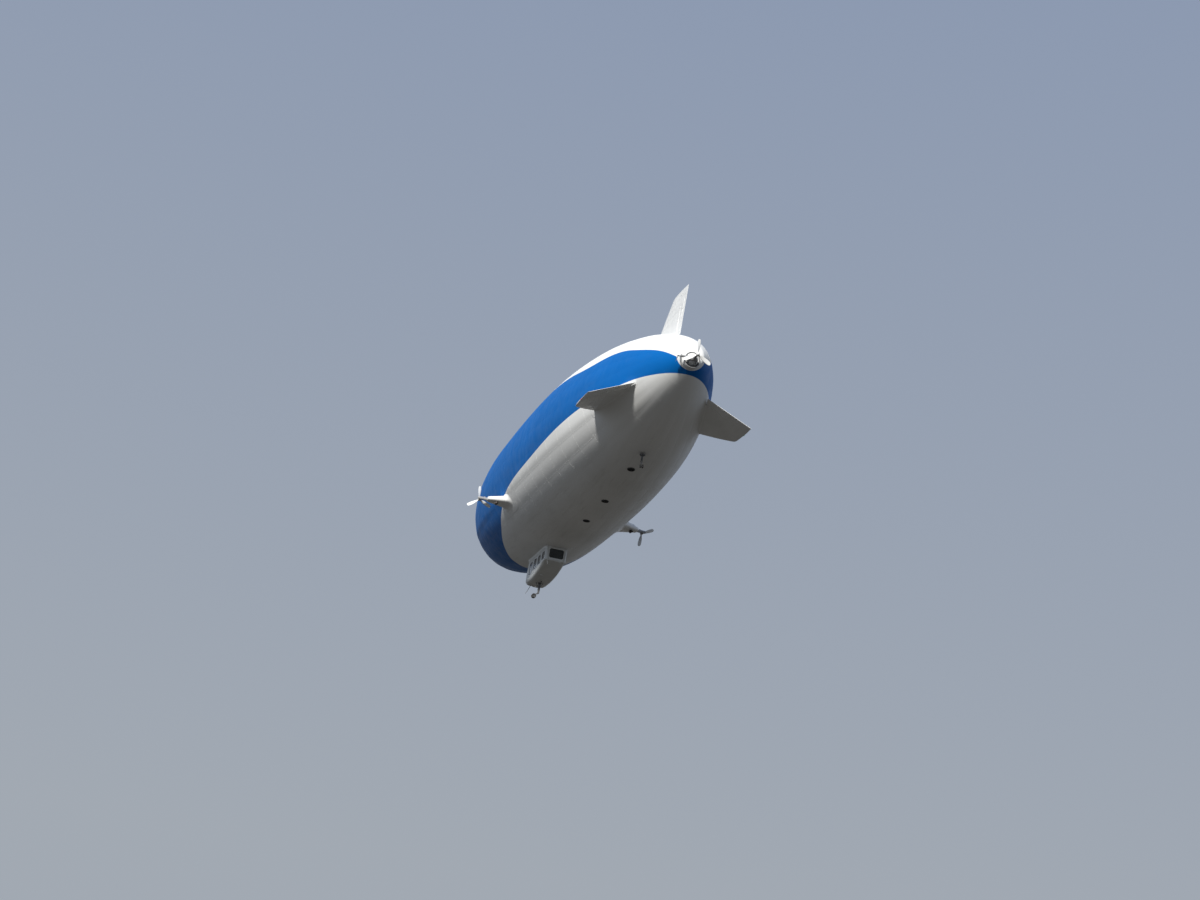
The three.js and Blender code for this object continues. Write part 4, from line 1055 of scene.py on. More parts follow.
def build_pod(name, flip):
    pod = Form(flip)
    rows = [pod_ring(lerp(5.62, POD_ROUNDING_X, i / 28)) for i in range(29)]
    for step in (0.3, 0.55, 0.75, 0.9, 1.0):
        rows.append(pod_ring(lerp(POD_ROUNDING_X, POD_TIP[0], step),
                             0.05 * (1 - math.sqrt(1 - step ** 2 * 0.98))))
    pod.sheet(rows, around=True, ends=True)
    pod.piece(f"{name}_pod_shell", "white", replaces=f"{name}_engine_pod", sharp=45)

    # Cowling joints: flat bands that run round the pod, with fasteners along them
    joints = Form(flip)
    for x in POD_JOINTS:
        joints.sheet([pod_ring(x + dx, -out) for dx, out in POD_STRIP], around=True)
        for y in (pod_section(x)[0] + 0.25 + 0.24 * k for k in range(12)):
            if y < pod_section(x)[1] - 0.2:
                for way, level in zip((1, -1), pod_face(x + 0.06, y)):
                    head = [(0, 0.0), (0.014, 0.0), (0.012, way * 0.006), (0, way * 0.008)]
                    joints.turned(head, "z", (x + 0.06, y, level - way * 0.002), 8)
    joints.piece(f"{name}_pod_joints", "white", sharp=60)

    # A lipped intake in the leading edge, and the cooling outlet at the back. The intake's back plate and bars
    # and the outlet's louvre slots are painted near-black as shade.
    lips = Form(flip)
    dark = Form(flip)
    for x0, x1, height in INTAKES:
        centre = (x0 + x1) / 2
        front, _, middle, _ = pod_section(centre)
        outline = rounded(x0, x1, middle - height / 2, middle + height / 2, height * 0.45, 6)
        rows = []
        for grow, back in ((1.24, 0.16), (1.2, 0.02), (1.1, -0.045), (1.0, -0.05), (0.94, -0.01), (0.92, 0.1),
                           (0.93, 0.03), (0.0, 0.031)):
            rows.append([(centre + (u - centre) * grow, front + back, middle + (v - middle) * grow)
                         for u, v in outline])
        lips.sheet(rows[:6], around=True)
        dark.sheet(rows[6:], around=True)
        for k in range(1, 5):
            x = lerp(x0, x1, k / 5)
            dark.tube([(x, front - 0.005, middle - height * 0.42),
                       (x, front - 0.005, middle + height * 0.42)], 0.007, 6)
    lips.piece(f"{name}_intake_lips", "white", sharp=60)
    for x in LOUVRES:
        for k in range(4):
            y = pod_section(x)[1] - 0.5 - 0.13 * k
            level = pod_face(x + 0.12, y + 0.02)[0]
            dark.slab((x + 0.02, x + 0.22), (y, y + 0.045), (level - 0.03, level + 0.006), 0.012)
    dark.piece(f"{name}_pod_vents", "void", sharp=60)

    # The silencer and its outlet hang under the pod.
    exhaust = Form(flip)
    level = pod_face(EXHAUST_X, 31.9)[1]
    inlet = [(0.0, 31.55, 0.08), (0.0, 31.62, -0.05), (0.0, 31.75, -0.1)]
    outlet = [(0.0, 32.1, -0.12), (0.0, 32.3, -0.13), (0.02, 32.45, -0.19), (0.05, 32.55, -0.27)]
    for path, radius in ((inlet, 0.06), (outlet, 0.05)):
        exhaust.tube([(EXHAUST_X + dx, y, level + dz) for dx, y, dz in path], radius, 14)
    exhaust.turned([(0, -0.02), (0.1, 0.0), (0.135, 0.04), (0.135, 0.5), (0.1, 0.54), (0, 0.56)], "y",
                   (EXHAUST_X, 31.6, level - 0.12), 28)
    for y in EXHAUST_BANDS:
        exhaust.turned([(0.136, -0.02), (0.144, -0.016), (0.144, 0.016), (0.136, 0.02)], "y",
                       (EXHAUST_X, y, level - 0.12), 28)
        exhaust.slab((EXHAUST_X - 0.03, EXHAUST_X + 0.03), (y - 0.02, y + 0.02),
                     (level - 0.04, level + 0.06), 0.01)
    exhaust.piece(f"{name}_exhaust", "exhaust", sharp=40)

    # A fairing sweeps from the hull on to the pod, and follows it as it narrows.
    root = Form(flip)
    rows = []
    for grow, x_out in FAIRING:
        ring = []
        for k, (x, y, z) in enumerate(pod_ring(6.2)):
            for _ in range(SETTLING_PASSES):
                front, back, middle, height = pod_section(x)
                cy = (front + back) / 2
                _, py, pz = pod_ring(x)[k]
                y = cy + (py - cy) * (1 + grow / ((back - front) / 2))
                z = middle + (pz - middle) * (1 + grow / (height / 2))
                x = math.sqrt(max(hull_radius(y) ** 2 - z ** 2, 0)) + x_out
            ring.append((x, y, z))
        rows.append(ring)
    root.sheet(rows, around=True)
    root.piece(f"{name}_pod_fairing", "white", sharp=80)


# The swivel's gearbox. Columns: radius, X or Y
SWIVEL_DRUM = [(0, 7.55), (0.1, 7.55), (0.1, 7.82), (0.15, 7.83), (0.15, 8.22), (0.16, 8.225), (0.16, 8.27),
               (0.15, 8.275), (0.15, 8.6), (0.14, 8.64), (0.09, 8.72), (0.03, 8.745), (0, 8.746)]
SWIVEL_NECK = [(0, SWIVEL_Y), (0.14, SWIVEL_Y), (0.14, 30.6), (0.152, 30.595), (0.152, 30.55),
               (0.14, 30.545),
               (0.14, 30.475), (0.125, 30.46), (0.06, 30.46), (0, 30.46)]
SWIVEL_CAP = [(0.0, SWIVEL_Y + 0.1), (0.1, SWIVEL_Y + 0.12), (0.13, SWIVEL_Y + 0.08),
              (0.14, SWIVEL_Y - 0.02)]
DISC_Y = 30.27
# Columns: radius, place along the propeller's axis
SIDE_HUB = [(0.0, 0.17), (0.14, 0.17), (0.15, 0.16), (0.15, -0.08), (0.146, -0.1), (0.135, -0.15),
            (0.11, -0.2),
            (0.08, -0.24), (0.05, -0.265), (0.02, -0.28), (0, -0.283)]


def build_side_engine(name, side, first):
    """The angle of the propeller's first blade is in degrees."""
    flip = Matrix.Diagonal((side, 1, 1, 1))
    build_pod(name, flip)
    gearbox = Form(flip)
    gearbox.turned(SWIVEL_DRUM, "x", (0, SWIVEL_Y, SWIVEL_Z), 40)
    gearbox.turned(SWIVEL_NECK, "y", (HUB_X, 0, SWIVEL_Z), 40)
    gearbox.turned(SWIVEL_CAP, "y", (HUB_X, 0, SWIVEL_Z), 32)
    gearbox.bolt_circle((7.84, SWIVEL_Y, SWIVEL_Z), 0.13, 8, "x", 0.013, -0.015)
    gearbox.bolt_circle((8.66, SWIVEL_Y, SWIVEL_Z), 0.1, 8, "x", 0.012, 0.03)
    gearbox.slab((8.0, 8.14), (SWIVEL_Y - 0.07, SWIVEL_Y + 0.07), (SWIVEL_Z + 0.13, SWIVEL_Z + 0.2), 0.02)
    gearbox.piece(f"{name}_gearbox_casing", "grey", f"{name}_swivel", replaces=f"{name}_swivel_gearbox",
                  sharp=35)

    place = Matrix.Translation((side * HUB_X, DISC_Y, SWIVEL_Z))
    propeller(f"{name}_propeller", f"{name}_rotor", BLADE_REFERENCE, place, first, SIDE_HUB)


for engine in (("port", 1, 5), ("starboard", -1, 56)):
    build_side_engine(*engine)


# Gondola: one smooth shell, with its openings cut out of it and its panes cut from a thin copy

GONDOLA_FRONT = 20.35
GONDOLA_BACK = 31.05
GONDOLA_WIDE = 1.12
GONDOLA_REAR_CORNER = 0.78
GONDOLA_BELLY = -9.55
BELLY_RISE_Y = 24.6
STERN_BELLY = -8.5
GONDOLA_TOP = -6.7
CEILING = -7.14
FLOOR_TOP = -9.02
WALL = 0.06
PANE_INSET = 0.012
PANE_THICKNESS = 0.02
NOSE_LENGTH = 2.9
NOSE_REACH = 1.9
NOSE_DROP = 1.3
CHIN_LENGTH = 1.9
# Radii of the round edge between the sides and the belly
FRONT_CHINE = 0.44
MIDDLE_CHINE = 0.34
REAR_CHINE = 0.15
SPINE_START = 2.25
BELLY_EDGE = 0.25
BELLY_POWER = 1.6
# Side windows. Columns: middle's Y, lower edge's Z
SIDE_WINDOWS = [(24.3, -8.82), (28.2, -8.46), (30.06, -8.3)]
DOOR_WINDOW = (26.3, -8.6)
WINDOW_HALF = 0.52
WINDOW_TOP = -7.58
WINDOW_CORNER = 0.17
# End windows. Columns: half width, lower edge's Z, upper edge's Z, corner
WINDSCREEN = (0.86, -8.66, -7.34, 0.2)
REAR_WINDOW = (0.7, -8.18, -7.3, 0.16)
PANE_GAP = 0.0015
SEAL_RADIUS = 0.019
# How far the cutters reach along X or Y
PORT_REACH = (0.7, 1.5)
STARBOARD_REACH = (-1.5, -0.7)
FRONT_REACH = (19.0, 22.3)
REAR_REACH = (30.6, 32.0)
# The door. Columns: front, back, lower edge, upper edge
DOOR = (25.6, 27.0, -8.98, -7.34)
DOOR_CORNER = 0.12
DOOR_GAP = 0.012
HINGE = (1.15, 25.54)
HINGE_LEVELS = (-7.55, -8.75)
# Columns: radius, height from the hinge's middle
HINGE_KNUCKLE = [(0.0125, -0.05), (0.024, -0.05), (0.026, -0.046), (0.026, 0.046), (0.024, 0.05),
                 (0.0125, 0.05)]
DOOR_LEVER = [(1.12, 26.81, -8.79), (1.15, 26.815, -8.79), (1.158, 26.86, -8.79), (1.152, 26.92, -8.79)]
DOOR_PULL = [(1.06, 26.84, -8.85), (1.02, 26.84, -8.83), (1.02, 26.84, -8.7), (1.06, 26.84, -8.68)]
BELLY_JOINTS = (22.9, 25.0, 26.6, 28.4, 30.0)
BELLY_STRIP = strip(0.03, 0.024, 0.006, 0.004)
POST_STRIP = strip(0.045, 0.036, 0.012, 0.01)
# The roof fairing's rings. Columns: spread from the shell's plan, drop below the hull
ROOF_FAIRING = [(1.115, -0.01), (1.08, 0.012), (1.04, 0.04), (1.012, 0.09), (0.998, 0.17)]
ROOF_MIDDLE_Y = 25.7
# The fairing spreads less along Y, and leans aft at the nose.
ROOF_SPREAD_ALONG = 0.32
ROOF_LEAN = 0.19
CEILING_LEAN = 0.13
# Columns: X, Z, distance off the windscreen
WIPER_ARM = [(0.2, -8.7, 0.03), (0.3, -8.4, 0.035), (0.42, -7.9, 0.022)]
# Columns: radius, height over its foot
AERIAL_FOOT = [(0, 0.0), (0.05, 0.0), (0.045, -0.03), (0.02, -0.06), (0, -0.06)]
WHIP_AERIAL = [(0.5, 22.35, -9.5), (0.6, 22.3, -9.8), (0.74, 22.24, -10.15), (0.92, 22.2, -10.46)]
LANDING_LAMP = [(0, -0.07), (0.05, -0.06), (0.085, -0.02), (0.09, 0.02), (0, 0.03)]
CABIN_RIBS = (23.4, 25.2, 27.35, 29.15)
# Path of a rail at a rear corner, from the roof to below the belly
REAR_RAIL = [(0.96, 30.96, -7.06), (0.98, 31.06, -7.16), (0.93, 31.09, -7.6), (0.86, 31.09, -8.3),
             (0.8, 31.08, -8.8), (0.76, 31.0, -8.9), (0.7, 30.8, -8.78), (0.66, 30.6, -8.52)]


def ease(t):
    t = min(max(t, 0.0), 1.0)
    return t * t * (3 - 2 * t)


def bezier(points, t):
    """A point on the curve that the control points pull."""
    while len(points) > 1:
        points = [[lerp(a, b, t) for a, b in zip(p, q)] for p, q in zip(points, points[1:])]
    return points[0]


def gondola_belly(y):
    """The belly is level ahead and curves up towards the stern."""
    along = min(max((y - BELLY_RISE_Y) / (GONDOLA_BACK - BELLY_EDGE - BELLY_RISE_Y), 0), 1)
    return lerp(GONDOLA_BELLY, STERN_BELLY, along ** BELLY_POWER)


def nose_share(y):
    """1 at the gondola's front, easing to 0 where its sides become straight."""
    return ease(1 - (y - GONDOLA_FRONT) / NOSE_LENGTH)


def gondola_plan(inset):
    """The port half seen from above, from the nose round the side to the middle of the back."""
    front, back, wide = GONDOLA_FRONT + inset, GONDOLA_BACK - inset, GONDOLA_WIDE - inset
    narrow = GONDOLA_REAR_CORNER - inset
    nose = [(0, front), (0.62, front), (wide, front + 1.0), (wide, front + NOSE_LENGTH)]
    corner = [(wide, back - 0.75), (wide, back), (narrow, back)]
    points = [bezier(nose, i / 22) for i in range(23)]
    points += [(wide, lerp(front + NOSE_LENGTH, back - 0.75, i / 30)) for i in range(1, 30)]
    points += [bezier(corner, i / 10) for i in range(11)]
    return points + [(narrow * (1 - i / 5), back) for i in range(1, 6)]


def gondola_column(plan, i, inset):
    """The points down the wall at one place of the plan and round the chine to the belly's edge."""
    x, y = plan[i]
    before, after = plan[max(i - 1, 0)], plan[min(i + 1, len(plan) - 1)]
    along = Vector((after[0] - before[0], after[1] - before[1])).normalized()
    inward = Vector((-along.y, along.x))
    nose = nose_share(y)
    spine = Vector((-x, max(GONDOLA_FRONT + SPINE_START, y) - y))
    if nose > 0:
        inward = spine.normalized()
    chin = ease(1 - (y - GONDOLA_FRONT) / CHIN_LENGTH)
    chine = lerp(FRONT_CHINE, MIDDLE_CHINE, ease((y - 25.0) / 2.6)) - inset
    back = ease((y - (GONDOLA_BACK - 1.1)) / 0.7)
    reach = min(lerp(lerp(chine, NOSE_REACH, chin), REAR_CHINE, back), 0.92 * spine.length)
    drop = lerp(lerp(chine, NOSE_DROP, chin), REAR_CHINE, back)
    column = []
    foot = gondola_belly(y) + inset + drop
    for k in range(25):
        z = lerp(GONDOLA_TOP, foot, k / 24)
        lean = lerp(0.12, 0.27, (z + 7.3) / 0.6) if z > -7.3 else lerp(0.12, 0.05, min((-7.3 - z) / 0.7, 1))
        column.append((x, y + lean * nose, z))
    for k in range(1, 13):
        angle = math.pi / 2 * k / 12
        shift = reach * (1 - math.cos(angle))
        px, py = x + inward.x * shift, y + inward.y * shift + 0.05 * nose
        column.append((px, py, gondola_belly(py) + inset + drop * (1 - math.sin(angle))))
    return column


def gondola_skin(inset, name):
    plan = gondola_plan(inset)
    port = [gondola_column(plan, i, inset) for i in range(len(plan))]
    port[0] = [(0.0, y, z) for x, y, z in port[0]]
    port[-1] = [(0.0, y, z) for x, y, z in port[-1]]
    starboard = [[(-x, y, z) for x, y, z in column] for column in port[-2:0:-1]]
    form = Form()
    form.sheet([[column[k] for column in port + starboard] for k in range(len(port[0]))], around=True)
    roof_edge = [column[-1] for column in port]
    form.sheet([[(lerp(x, -x, k / 6), y, z) for k in range(7)] for x, y, z in roof_edge])
    return cleaned(form.object(name))


def thickened(made, thickness, inner=0):
    """Turns a skin into a wall whose thickness lies inside it."""
    for look in ("gondola", "liner"):
        made.data.materials.append(LOOKS[look])
    wall = made.modifiers.new("wall", "SOLIDIFY")
    wall.thickness = thickness * HALF
    wall.offset = -1
    wall.material_offset = inner
    return settled(made)


def side_window(middle, bottom, margin=0.0):
    """The edge of a window in the side, widened by the margin."""
    half = WINDOW_HALF + margin
    return rounded(middle - half, middle + half, bottom - margin, WINDOW_TOP + margin,
                   WINDOW_CORNER + margin, 8)


def end_window(half, bottom, top, corner, margin):
    """The edge of a window in the front or back, widened by the margin."""
    return rounded(-half - margin, half + margin, bottom - margin, top + margin, corner + margin, 10)


def both_sides(plan):
    """The port half of a plan, then the starboard half back to its start."""
    return plan + [(-x, y) for x, y in plan[-2:0:-1]]


def copied(made):
    """A copy of the shape with a mesh of its own."""
    twin = made.copy()
    twin.data = made.data.copy()
    bpy.context.scene.collection.objects.link(twin)
    return twin


def door_outline(margin):
    """The door's edge, widened by the margin."""
    front, back, bottom, top = DOOR
    return rounded(front - margin, back + margin, bottom - margin, top + margin, DOOR_CORNER + margin, 7)


def subdivided(outline, step):
    """The closed outline with more points on its long sides."""
    points = []
    for (u0, v0), (u1, v1) in zip(outline, outline[1:] + outline[:1]):
        parts = max(1, round(math.hypot(u1 - u0, v1 - v0) / step))
        points += [(lerp(u0, u1, k / parts), lerp(v0, v1, k / parts)) for k in range(parts)]
    return points


def gondola_openings():
    """Each glazed opening. Columns: CAD node, axis, reach along it, outline with a margin, body."""
    openings = []
    for word, reach in (("port", PORT_REACH), ("starboard", STARBOARD_REACH)):
        for i, place in enumerate(SIDE_WINDOWS):
            openings.append((f"{word}_window_{i + 1}", "x", reach,
                             lambda margin, place=place: side_window(*place, margin), "airframe"))
    for node, reach, body in (("starboard_window_4", STARBOARD_REACH, "airframe"),
                              ("door_window", PORT_REACH, "door")):
        openings.append((node, "x", reach, lambda margin: side_window(*DOOR_WINDOW, margin), body))
    for node, reach, sizes in (("windshield", FRONT_REACH, WINDSCREEN),
                               ("rear_window", REAR_REACH, REAR_WINDOW)):
        openings.append((node, "y", reach, lambda margin, sizes=sizes: end_window(*sizes, margin),
                         "airframe"))
    return openings


def surface_point(tree, axis, side, u, v, out):
    """Where a line along X or Y from outside first meets the gondola, lifted off its skin."""
    if axis == "x":
        start, way = (3.0 * side, u, v), Vector((-side, 0, 0))
    else:
        start, way = (u, 18.0 if side < 0 else 34.0, v), Vector((0, -side, 0))
    place, normal = tree.ray_cast(at(start), way)[:2]
    if normal.dot(way) > 0:
        normal = -normal
    return Vector((place.x / HALF, place.y / HALF + LIFT_Y, place.z / HALF)) + normal * out


def build_gondola():
    outer = gondola_skin(0.0, "gondola_outer")
    corners = [v.co.copy() for v in outer.data.vertices]
    tree = BVHTree.FromPolygons(corners, [tuple(p.vertices) for p in outer.data.polygons])
    wall = thickened(outer, WALL, 1)
    pane_skin = thickened(gondola_skin(PANE_INSET, "pane_skin"), PANE_THICKNESS)
    openings = gondola_openings()

    leaf = cut(copied(wall), door_outline(-DOOR_GAP), "x", PORT_REACH, "INTERSECT")
    cut(leaf, side_window(*DOOR_WINDOW), "x", PORT_REACH)
    leaf.name = "passenger_door_leaf"
    dress(leaf, ["gondola", "liner"], "door", replaces="passenger_door", sharp=35)

    for node, axis, reach, outline, body in openings:
        if body == "airframe":
            cut(wall, outline(0.0), axis, reach)
        pane = cut(copied(pane_skin), outline(-PANE_GAP), axis, reach, "INTERSECT")
        pane.name = f"{node}_pane"
        dress(pane, "glass", body, replaces=node, sharp=45)
    bpy.data.objects.remove(pane_skin)
    cut(wall, door_outline(0.0), "x", PORT_REACH)
    wall.name = "gondola_moulding"
    dress(wall, ["gondola", "liner"], replaces="gondola_shell", sharp=35)

    # Rubber seals round the glass, each following the skin
    seals = {"airframe": Form(), "door": Form()}
    for node, axis, reach, outline, body in openings:
        side = 1 if reach in (PORT_REACH, REAR_REACH) else -1
        path = [surface_point(tree, axis, side, u, v, -0.004) for u, v in subdivided(outline(0.004), 0.09)]
        seals[body].tube(path, SEAL_RADIUS, 8, closed=True)
    seals["airframe"].piece("window_seals", "seal", sharp=60)
    seals["door"].piece("door_window_seal", "seal", "door", sharp=60)
    build_gondola_trim(tree)
    build_door_fittings()


def build_gondola_trim(tree):
    trim = Form()
    # A moulded fairing seals the roof of the gondola against the hull.
    rows = []
    for spread, drop in ROOF_FAIRING:
        ring = []
        for x, y in both_sides(gondola_plan(0.0)):
            px = x * spread
            py = ROOF_MIDDLE_Y + (y - ROOF_MIDDLE_Y) * (1 + (spread - 1) * ROOF_SPREAD_ALONG)
            ring.append((px, py + ROOF_LEAN * nose_share(y), -math.sqrt(hull_radius(py) ** 2 - px ** 2) - drop))
        rows.append(ring)
    trim.sheet(rows, around=True)
    # The belly's panel joints
    for y in BELLY_JOINTS:
        xs = [lerp(-0.72, 0.72, k / 12) for k in range(13)]
        trim.sheet([[(x, y + dy, gondola_belly(y + dy) - out) for dy, out in BELLY_STRIP] for x in xs])
    for side in (1, -1):
        trim.tube([(side * x, y, z) for x, y, z in REAR_RAIL], 0.03, 10)
    # Covers on the belly: a battery hatch and a drain cover
    trim.slab((-0.3, 0.3), (23.2, 23.9), (GONDOLA_BELLY - 0.012, GONDOLA_BELLY + 0.02), 0.04)
    trim.slab((0.3, 0.62), (26.9, 27.3), (gondola_belly(27.1) - 0.03, gondola_belly(27.1) + 0.05), 0.04)
    trim.piece("gondola_trim", "gondola", sharp=40)

    # The windscreen's middle post and its two wipers
    post = Form()
    levels = [lerp(-7.36, -8.64, k / 23) for k in range(24)]
    post.sheet([[surface_point(tree, "y", -1, x, z, out) for x, out in POST_STRIP] for z in levels])
    post.piece("windscreen_post", "gondola", sharp=50)
    wipers = Form()
    for side in (1, -1):
        arm = [surface_point(tree, "y", -1, side * x, z, out) for x, z, out in WIPER_ARM]
        blade = [surface_point(tree, "y", -1, side * lerp(0.3, 0.52, k / 6), lerp(-8.3, -7.6, k / 6), 0.014)
                 for k in range(7)]
        wipers.tube(arm, 0.011, 8)
        wipers.tube(blade, 0.01, 8)
        foot = arm[0]
        wipers.rod(0.03, "y", foot.y - 0.02, foot.y + 0.05, (foot.x, 0, foot.z), 14)
    wipers.piece("windscreen_wipers", "dark", sharp=40)

    # A whip aerial slants down ahead of the gear, with a blade aerial on the middle line behind it.
    aerials = Form()
    aerials.turned(AERIAL_FOOT, "z", WHIP_AERIAL[0], 16)
    aerials.tube(WHIP_AERIAL, [0.028, 0.024, 0.02, 0.015], 8)
    aerials.sheet([[(0.012 * math.sin(a), 23.1 + 0.12 * math.cos(a) + shift, z) for a in
                    (math.pi / 8 * k for k in range(16))]
                   for z, shift in ((-9.5, 0.0), (-9.58, 0.02), (-9.76, 0.09))], around=True, ends=True)
    aerials.piece("aerials", "steel", sharp=50)

    lamps = Form()
    lamps.turned(LANDING_LAMP, "z", (0, 22.45, GONDOLA_BELLY), 28)
    for y in (24.0, 26.4):
        lamps.slab((-0.14, 0.14), (y, y + 0.5), (CEILING - 0.03, CEILING + 0.001), 0.02)
    lamps.piece("landing_and_cabin_lamps", "clear", sharp=40)

    # The ceiling closes the cabin, with a rib at each bay.
    ceiling = Form()
    loop = both_sides(gondola_plan(WALL + 0.004))
    lean = [CEILING_LEAN * nose_share(y) for x, y in loop]
    ceiling.sheet([[(x, y + s, z) for (x, y), s in zip(loop, lean)] for z in (CEILING, CEILING + 0.05)],
                  around=True, ends=True)
    for y in CABIN_RIBS:
        ceiling.slab((-1.05, 1.05), (y - 0.04, y + 0.04), (CEILING - 0.03, CEILING + 0.005), 0.012)
        for side in (1, -1):
            low = gondola_belly(y) + 0.42
            ceiling.slab(sorted((side * 1.066, side * 1.03)), (y - 0.035, y + 0.035), (low, CEILING), 0.012)
    ceiling.piece("cabin_ceiling_and_ribs", "liner", sharp=40)


def build_door_fittings():
    fittings = Form()
    for z in HINGE_LEVELS:
        fittings.turned([(r, z + dz) for r, dz in HINGE_KNUCKLE], "z", (*HINGE, 0), 20)
        fittings.slab((1.128, 1.15), (HINGE[1] + 0.01, 25.78), (z - 0.045, z + 0.045), 0.01)
        fittings.bolts([(1.149, y, z) for y in (25.68, 25.74)], "x", 0.012, 0.008)
    # A lever in a shallow dish outside, a pull inside, and a scuff plate along the sill
    fittings.slab((1.112, 1.126), (26.78, 26.94), (-8.86, -8.72), 0.03)
    fittings.tube(DOOR_LEVER, 0.012, 10)
    fittings.tube(DOOR_PULL, 0.013, 10)
    fittings.slab((1.048, 1.062), (25.75, 26.85), (-8.84, -8.7), 0.02)
    fittings.piece("door_hinges_and_handles", "bare", "door", sharp=40)

    lugs = Form()
    for z in HINGE_LEVELS:
        for sign in (-1, 1):
            low, high = sorted((z + sign * 0.0515, z + sign * 0.08))
            lugs.rod(0.026, "z", low, high, (*HINGE, 0), 20)
            lugs.slab((1.1, HINGE[0]), (HINGE[1] - 0.024, HINGE[1] + 0.024), (low, high), 0.006)
        lugs.rod(0.012, "z", z - 0.09, z + 0.09, (*HINGE, 0), 16)
    lugs.piece("door_hinge_lugs", "bare", sharp=40)


# Cabin: seats on rails, the pilots' console

SEAT_X = 0.5
# Rows of two seats, each at the front of its rails
SEAT_ROWS = (22.75, 24.1, 25.15, 27.2)


# Columns: name, Y and Z from the seat's foot, width, depth and height, tilt, channels, piping's radius
PADS = [
    ("seat_cushion", 0.21, 0.345, (0.45, 0.42, 0.12), 0, 3, 0.008),
    ("seat_back", 0.4, 0.71, (0.43, 0.62, 0.1), 84, 3, 0.008),
    ("head_rest", 0.42, 1.03, (0.24, 0.1, 0.09), 84, 1, 0.006),
]
PAD_POINTS = 56
PAD_POWER = 0.42


def pad_edge(width, depth, j):
    """A point on the outline of a pad, which pulls in between its corners."""
    u, v = squared(2 * math.pi * j / PAD_POINTS, PAD_POWER)
    return u * (1 - 0.06 * (1 - v * v)) * width / 2, v * (1 - 0.06 * (1 - u * u)) * depth / 2


def cushion(name, centre, size, tilt, channels):
    """A stuffed crowned pad with sewn channels. Returns the path of its piping."""
    width, depth, height = size
    place = Matrix.Translation(centre) @ Matrix.Rotation(math.radians(tilt), 4, "X")
    pad = Form(place)
    rows = []
    for i in range(25):
        b = math.radians(-90 + 180 * i / 24)
        level = math.copysign(abs(math.sin(b)) ** 0.75, b) * height / 2
        spread = abs(math.cos(b)) ** PAD_POWER if 0 < i < 24 else 0.0
        row = []
        for j in range(PAD_POINTS):
            x, y = (edge * spread for edge in pad_edge(width, depth, j))
            sunk = sum(math.exp(-(((x - width * (k / (channels + 1) - 0.5)) / 0.012) ** 2))
                       for k in range(1, channels + 1))
            crown = 0.12 * height * (1 - (2 * x / width) ** 2) * (1 - (2 * y / depth) ** 2)
            z = level + (crown - 0.011 * sunk if b > 0 else 0.0)
            row.append((x, y, max(z, -height * 0.44)))
        rows.append(row)
    pad.sheet(rows, around=True)
    made = pad.piece(name, "seat", slot="seat_fabric", sharp=70)
    return [place @ Vector((*pad_edge(width, depth, j), 0)) for j in range(PAD_POINTS)]


def build_seats():
    frames = Form()
    piping = Form()
    places = [(side * SEAT_X, y, FLOOR_TOP) for y in SEAT_ROWS for side in (-1, 1)]
    for number, (seat_x, seat_y, floor_z) in enumerate(places, 1):
        for pad, dy, dz, size, tilt, channels, radius in PADS:
            centre = (seat_x, seat_y + dy, floor_z + dz)
            piping.tube(cushion(f"{pad}_{number}", centre, size, tilt, channels), radius, 6, closed=True)
        # The pan, the back, two legs on a rail at each side, and the arm rests
        frames.matrix = Matrix.Translation((seat_x, seat_y, floor_z))
        frames.slab((-0.21, 0.21), (0.02, 0.42), (0.25, 0.285), 0.02)
        frames.slab((-0.2, 0.2), (0.445, 0.475), (0.3, 1.0), 0.03)
        for x in (-0.13, 0.13):
            frames.tube([(x, 0.08, 0.03), (x, 0.12, 0.26)], 0.016, 10)
            frames.tube([(x, 0.38, 0.03), (x, 0.34, 0.26)], 0.016, 10)
            frames.slab((x - 0.025, x + 0.025), (0.0, 0.46), (0.0, 0.03), 0.008)
        for x in (-0.225, 0.225):
            frames.tube([(x, 0.43, 0.32), (x, 0.44, 0.56), (x, 0.4, 0.58), (x, 0.1, 0.57)], 0.014, 10)
            frames.slab((x - 0.025, x + 0.025), (0.08, 0.38), (0.575, 0.605), 0.012)
    frames.piece("seat_frames", "dark", replaces=("pilot_seats", "passenger_seats"), sharp=40)
    piping.piece("seat_piping", "seal", slot="seat_fabric", sharp=70)


DIALS_Y = 22.262
DIALS_Z = -8.68
SCREENS_X = (-0.42, 0.0, 0.42)
# Profiles about a line along Y, or along Z. Columns: radius, place along it
DIAL_RIM = [(0.062, 0.0), (0.062, 0.018), (0.056, 0.024), (0.05, 0.018), (0.05, 0.0)]
DIAL_FACE = [(0, 0.01), (0.05, 0.01)]
STICK_GRIP = [(0, 0), (0.024, 0.01), (0.026, 0.08), (0.018, 0.12), (0, 0.125)]
LEVER_KNOB = [(0, 0), (0.016, 0.005), (0.016, 0.03), (0, 0.035)]


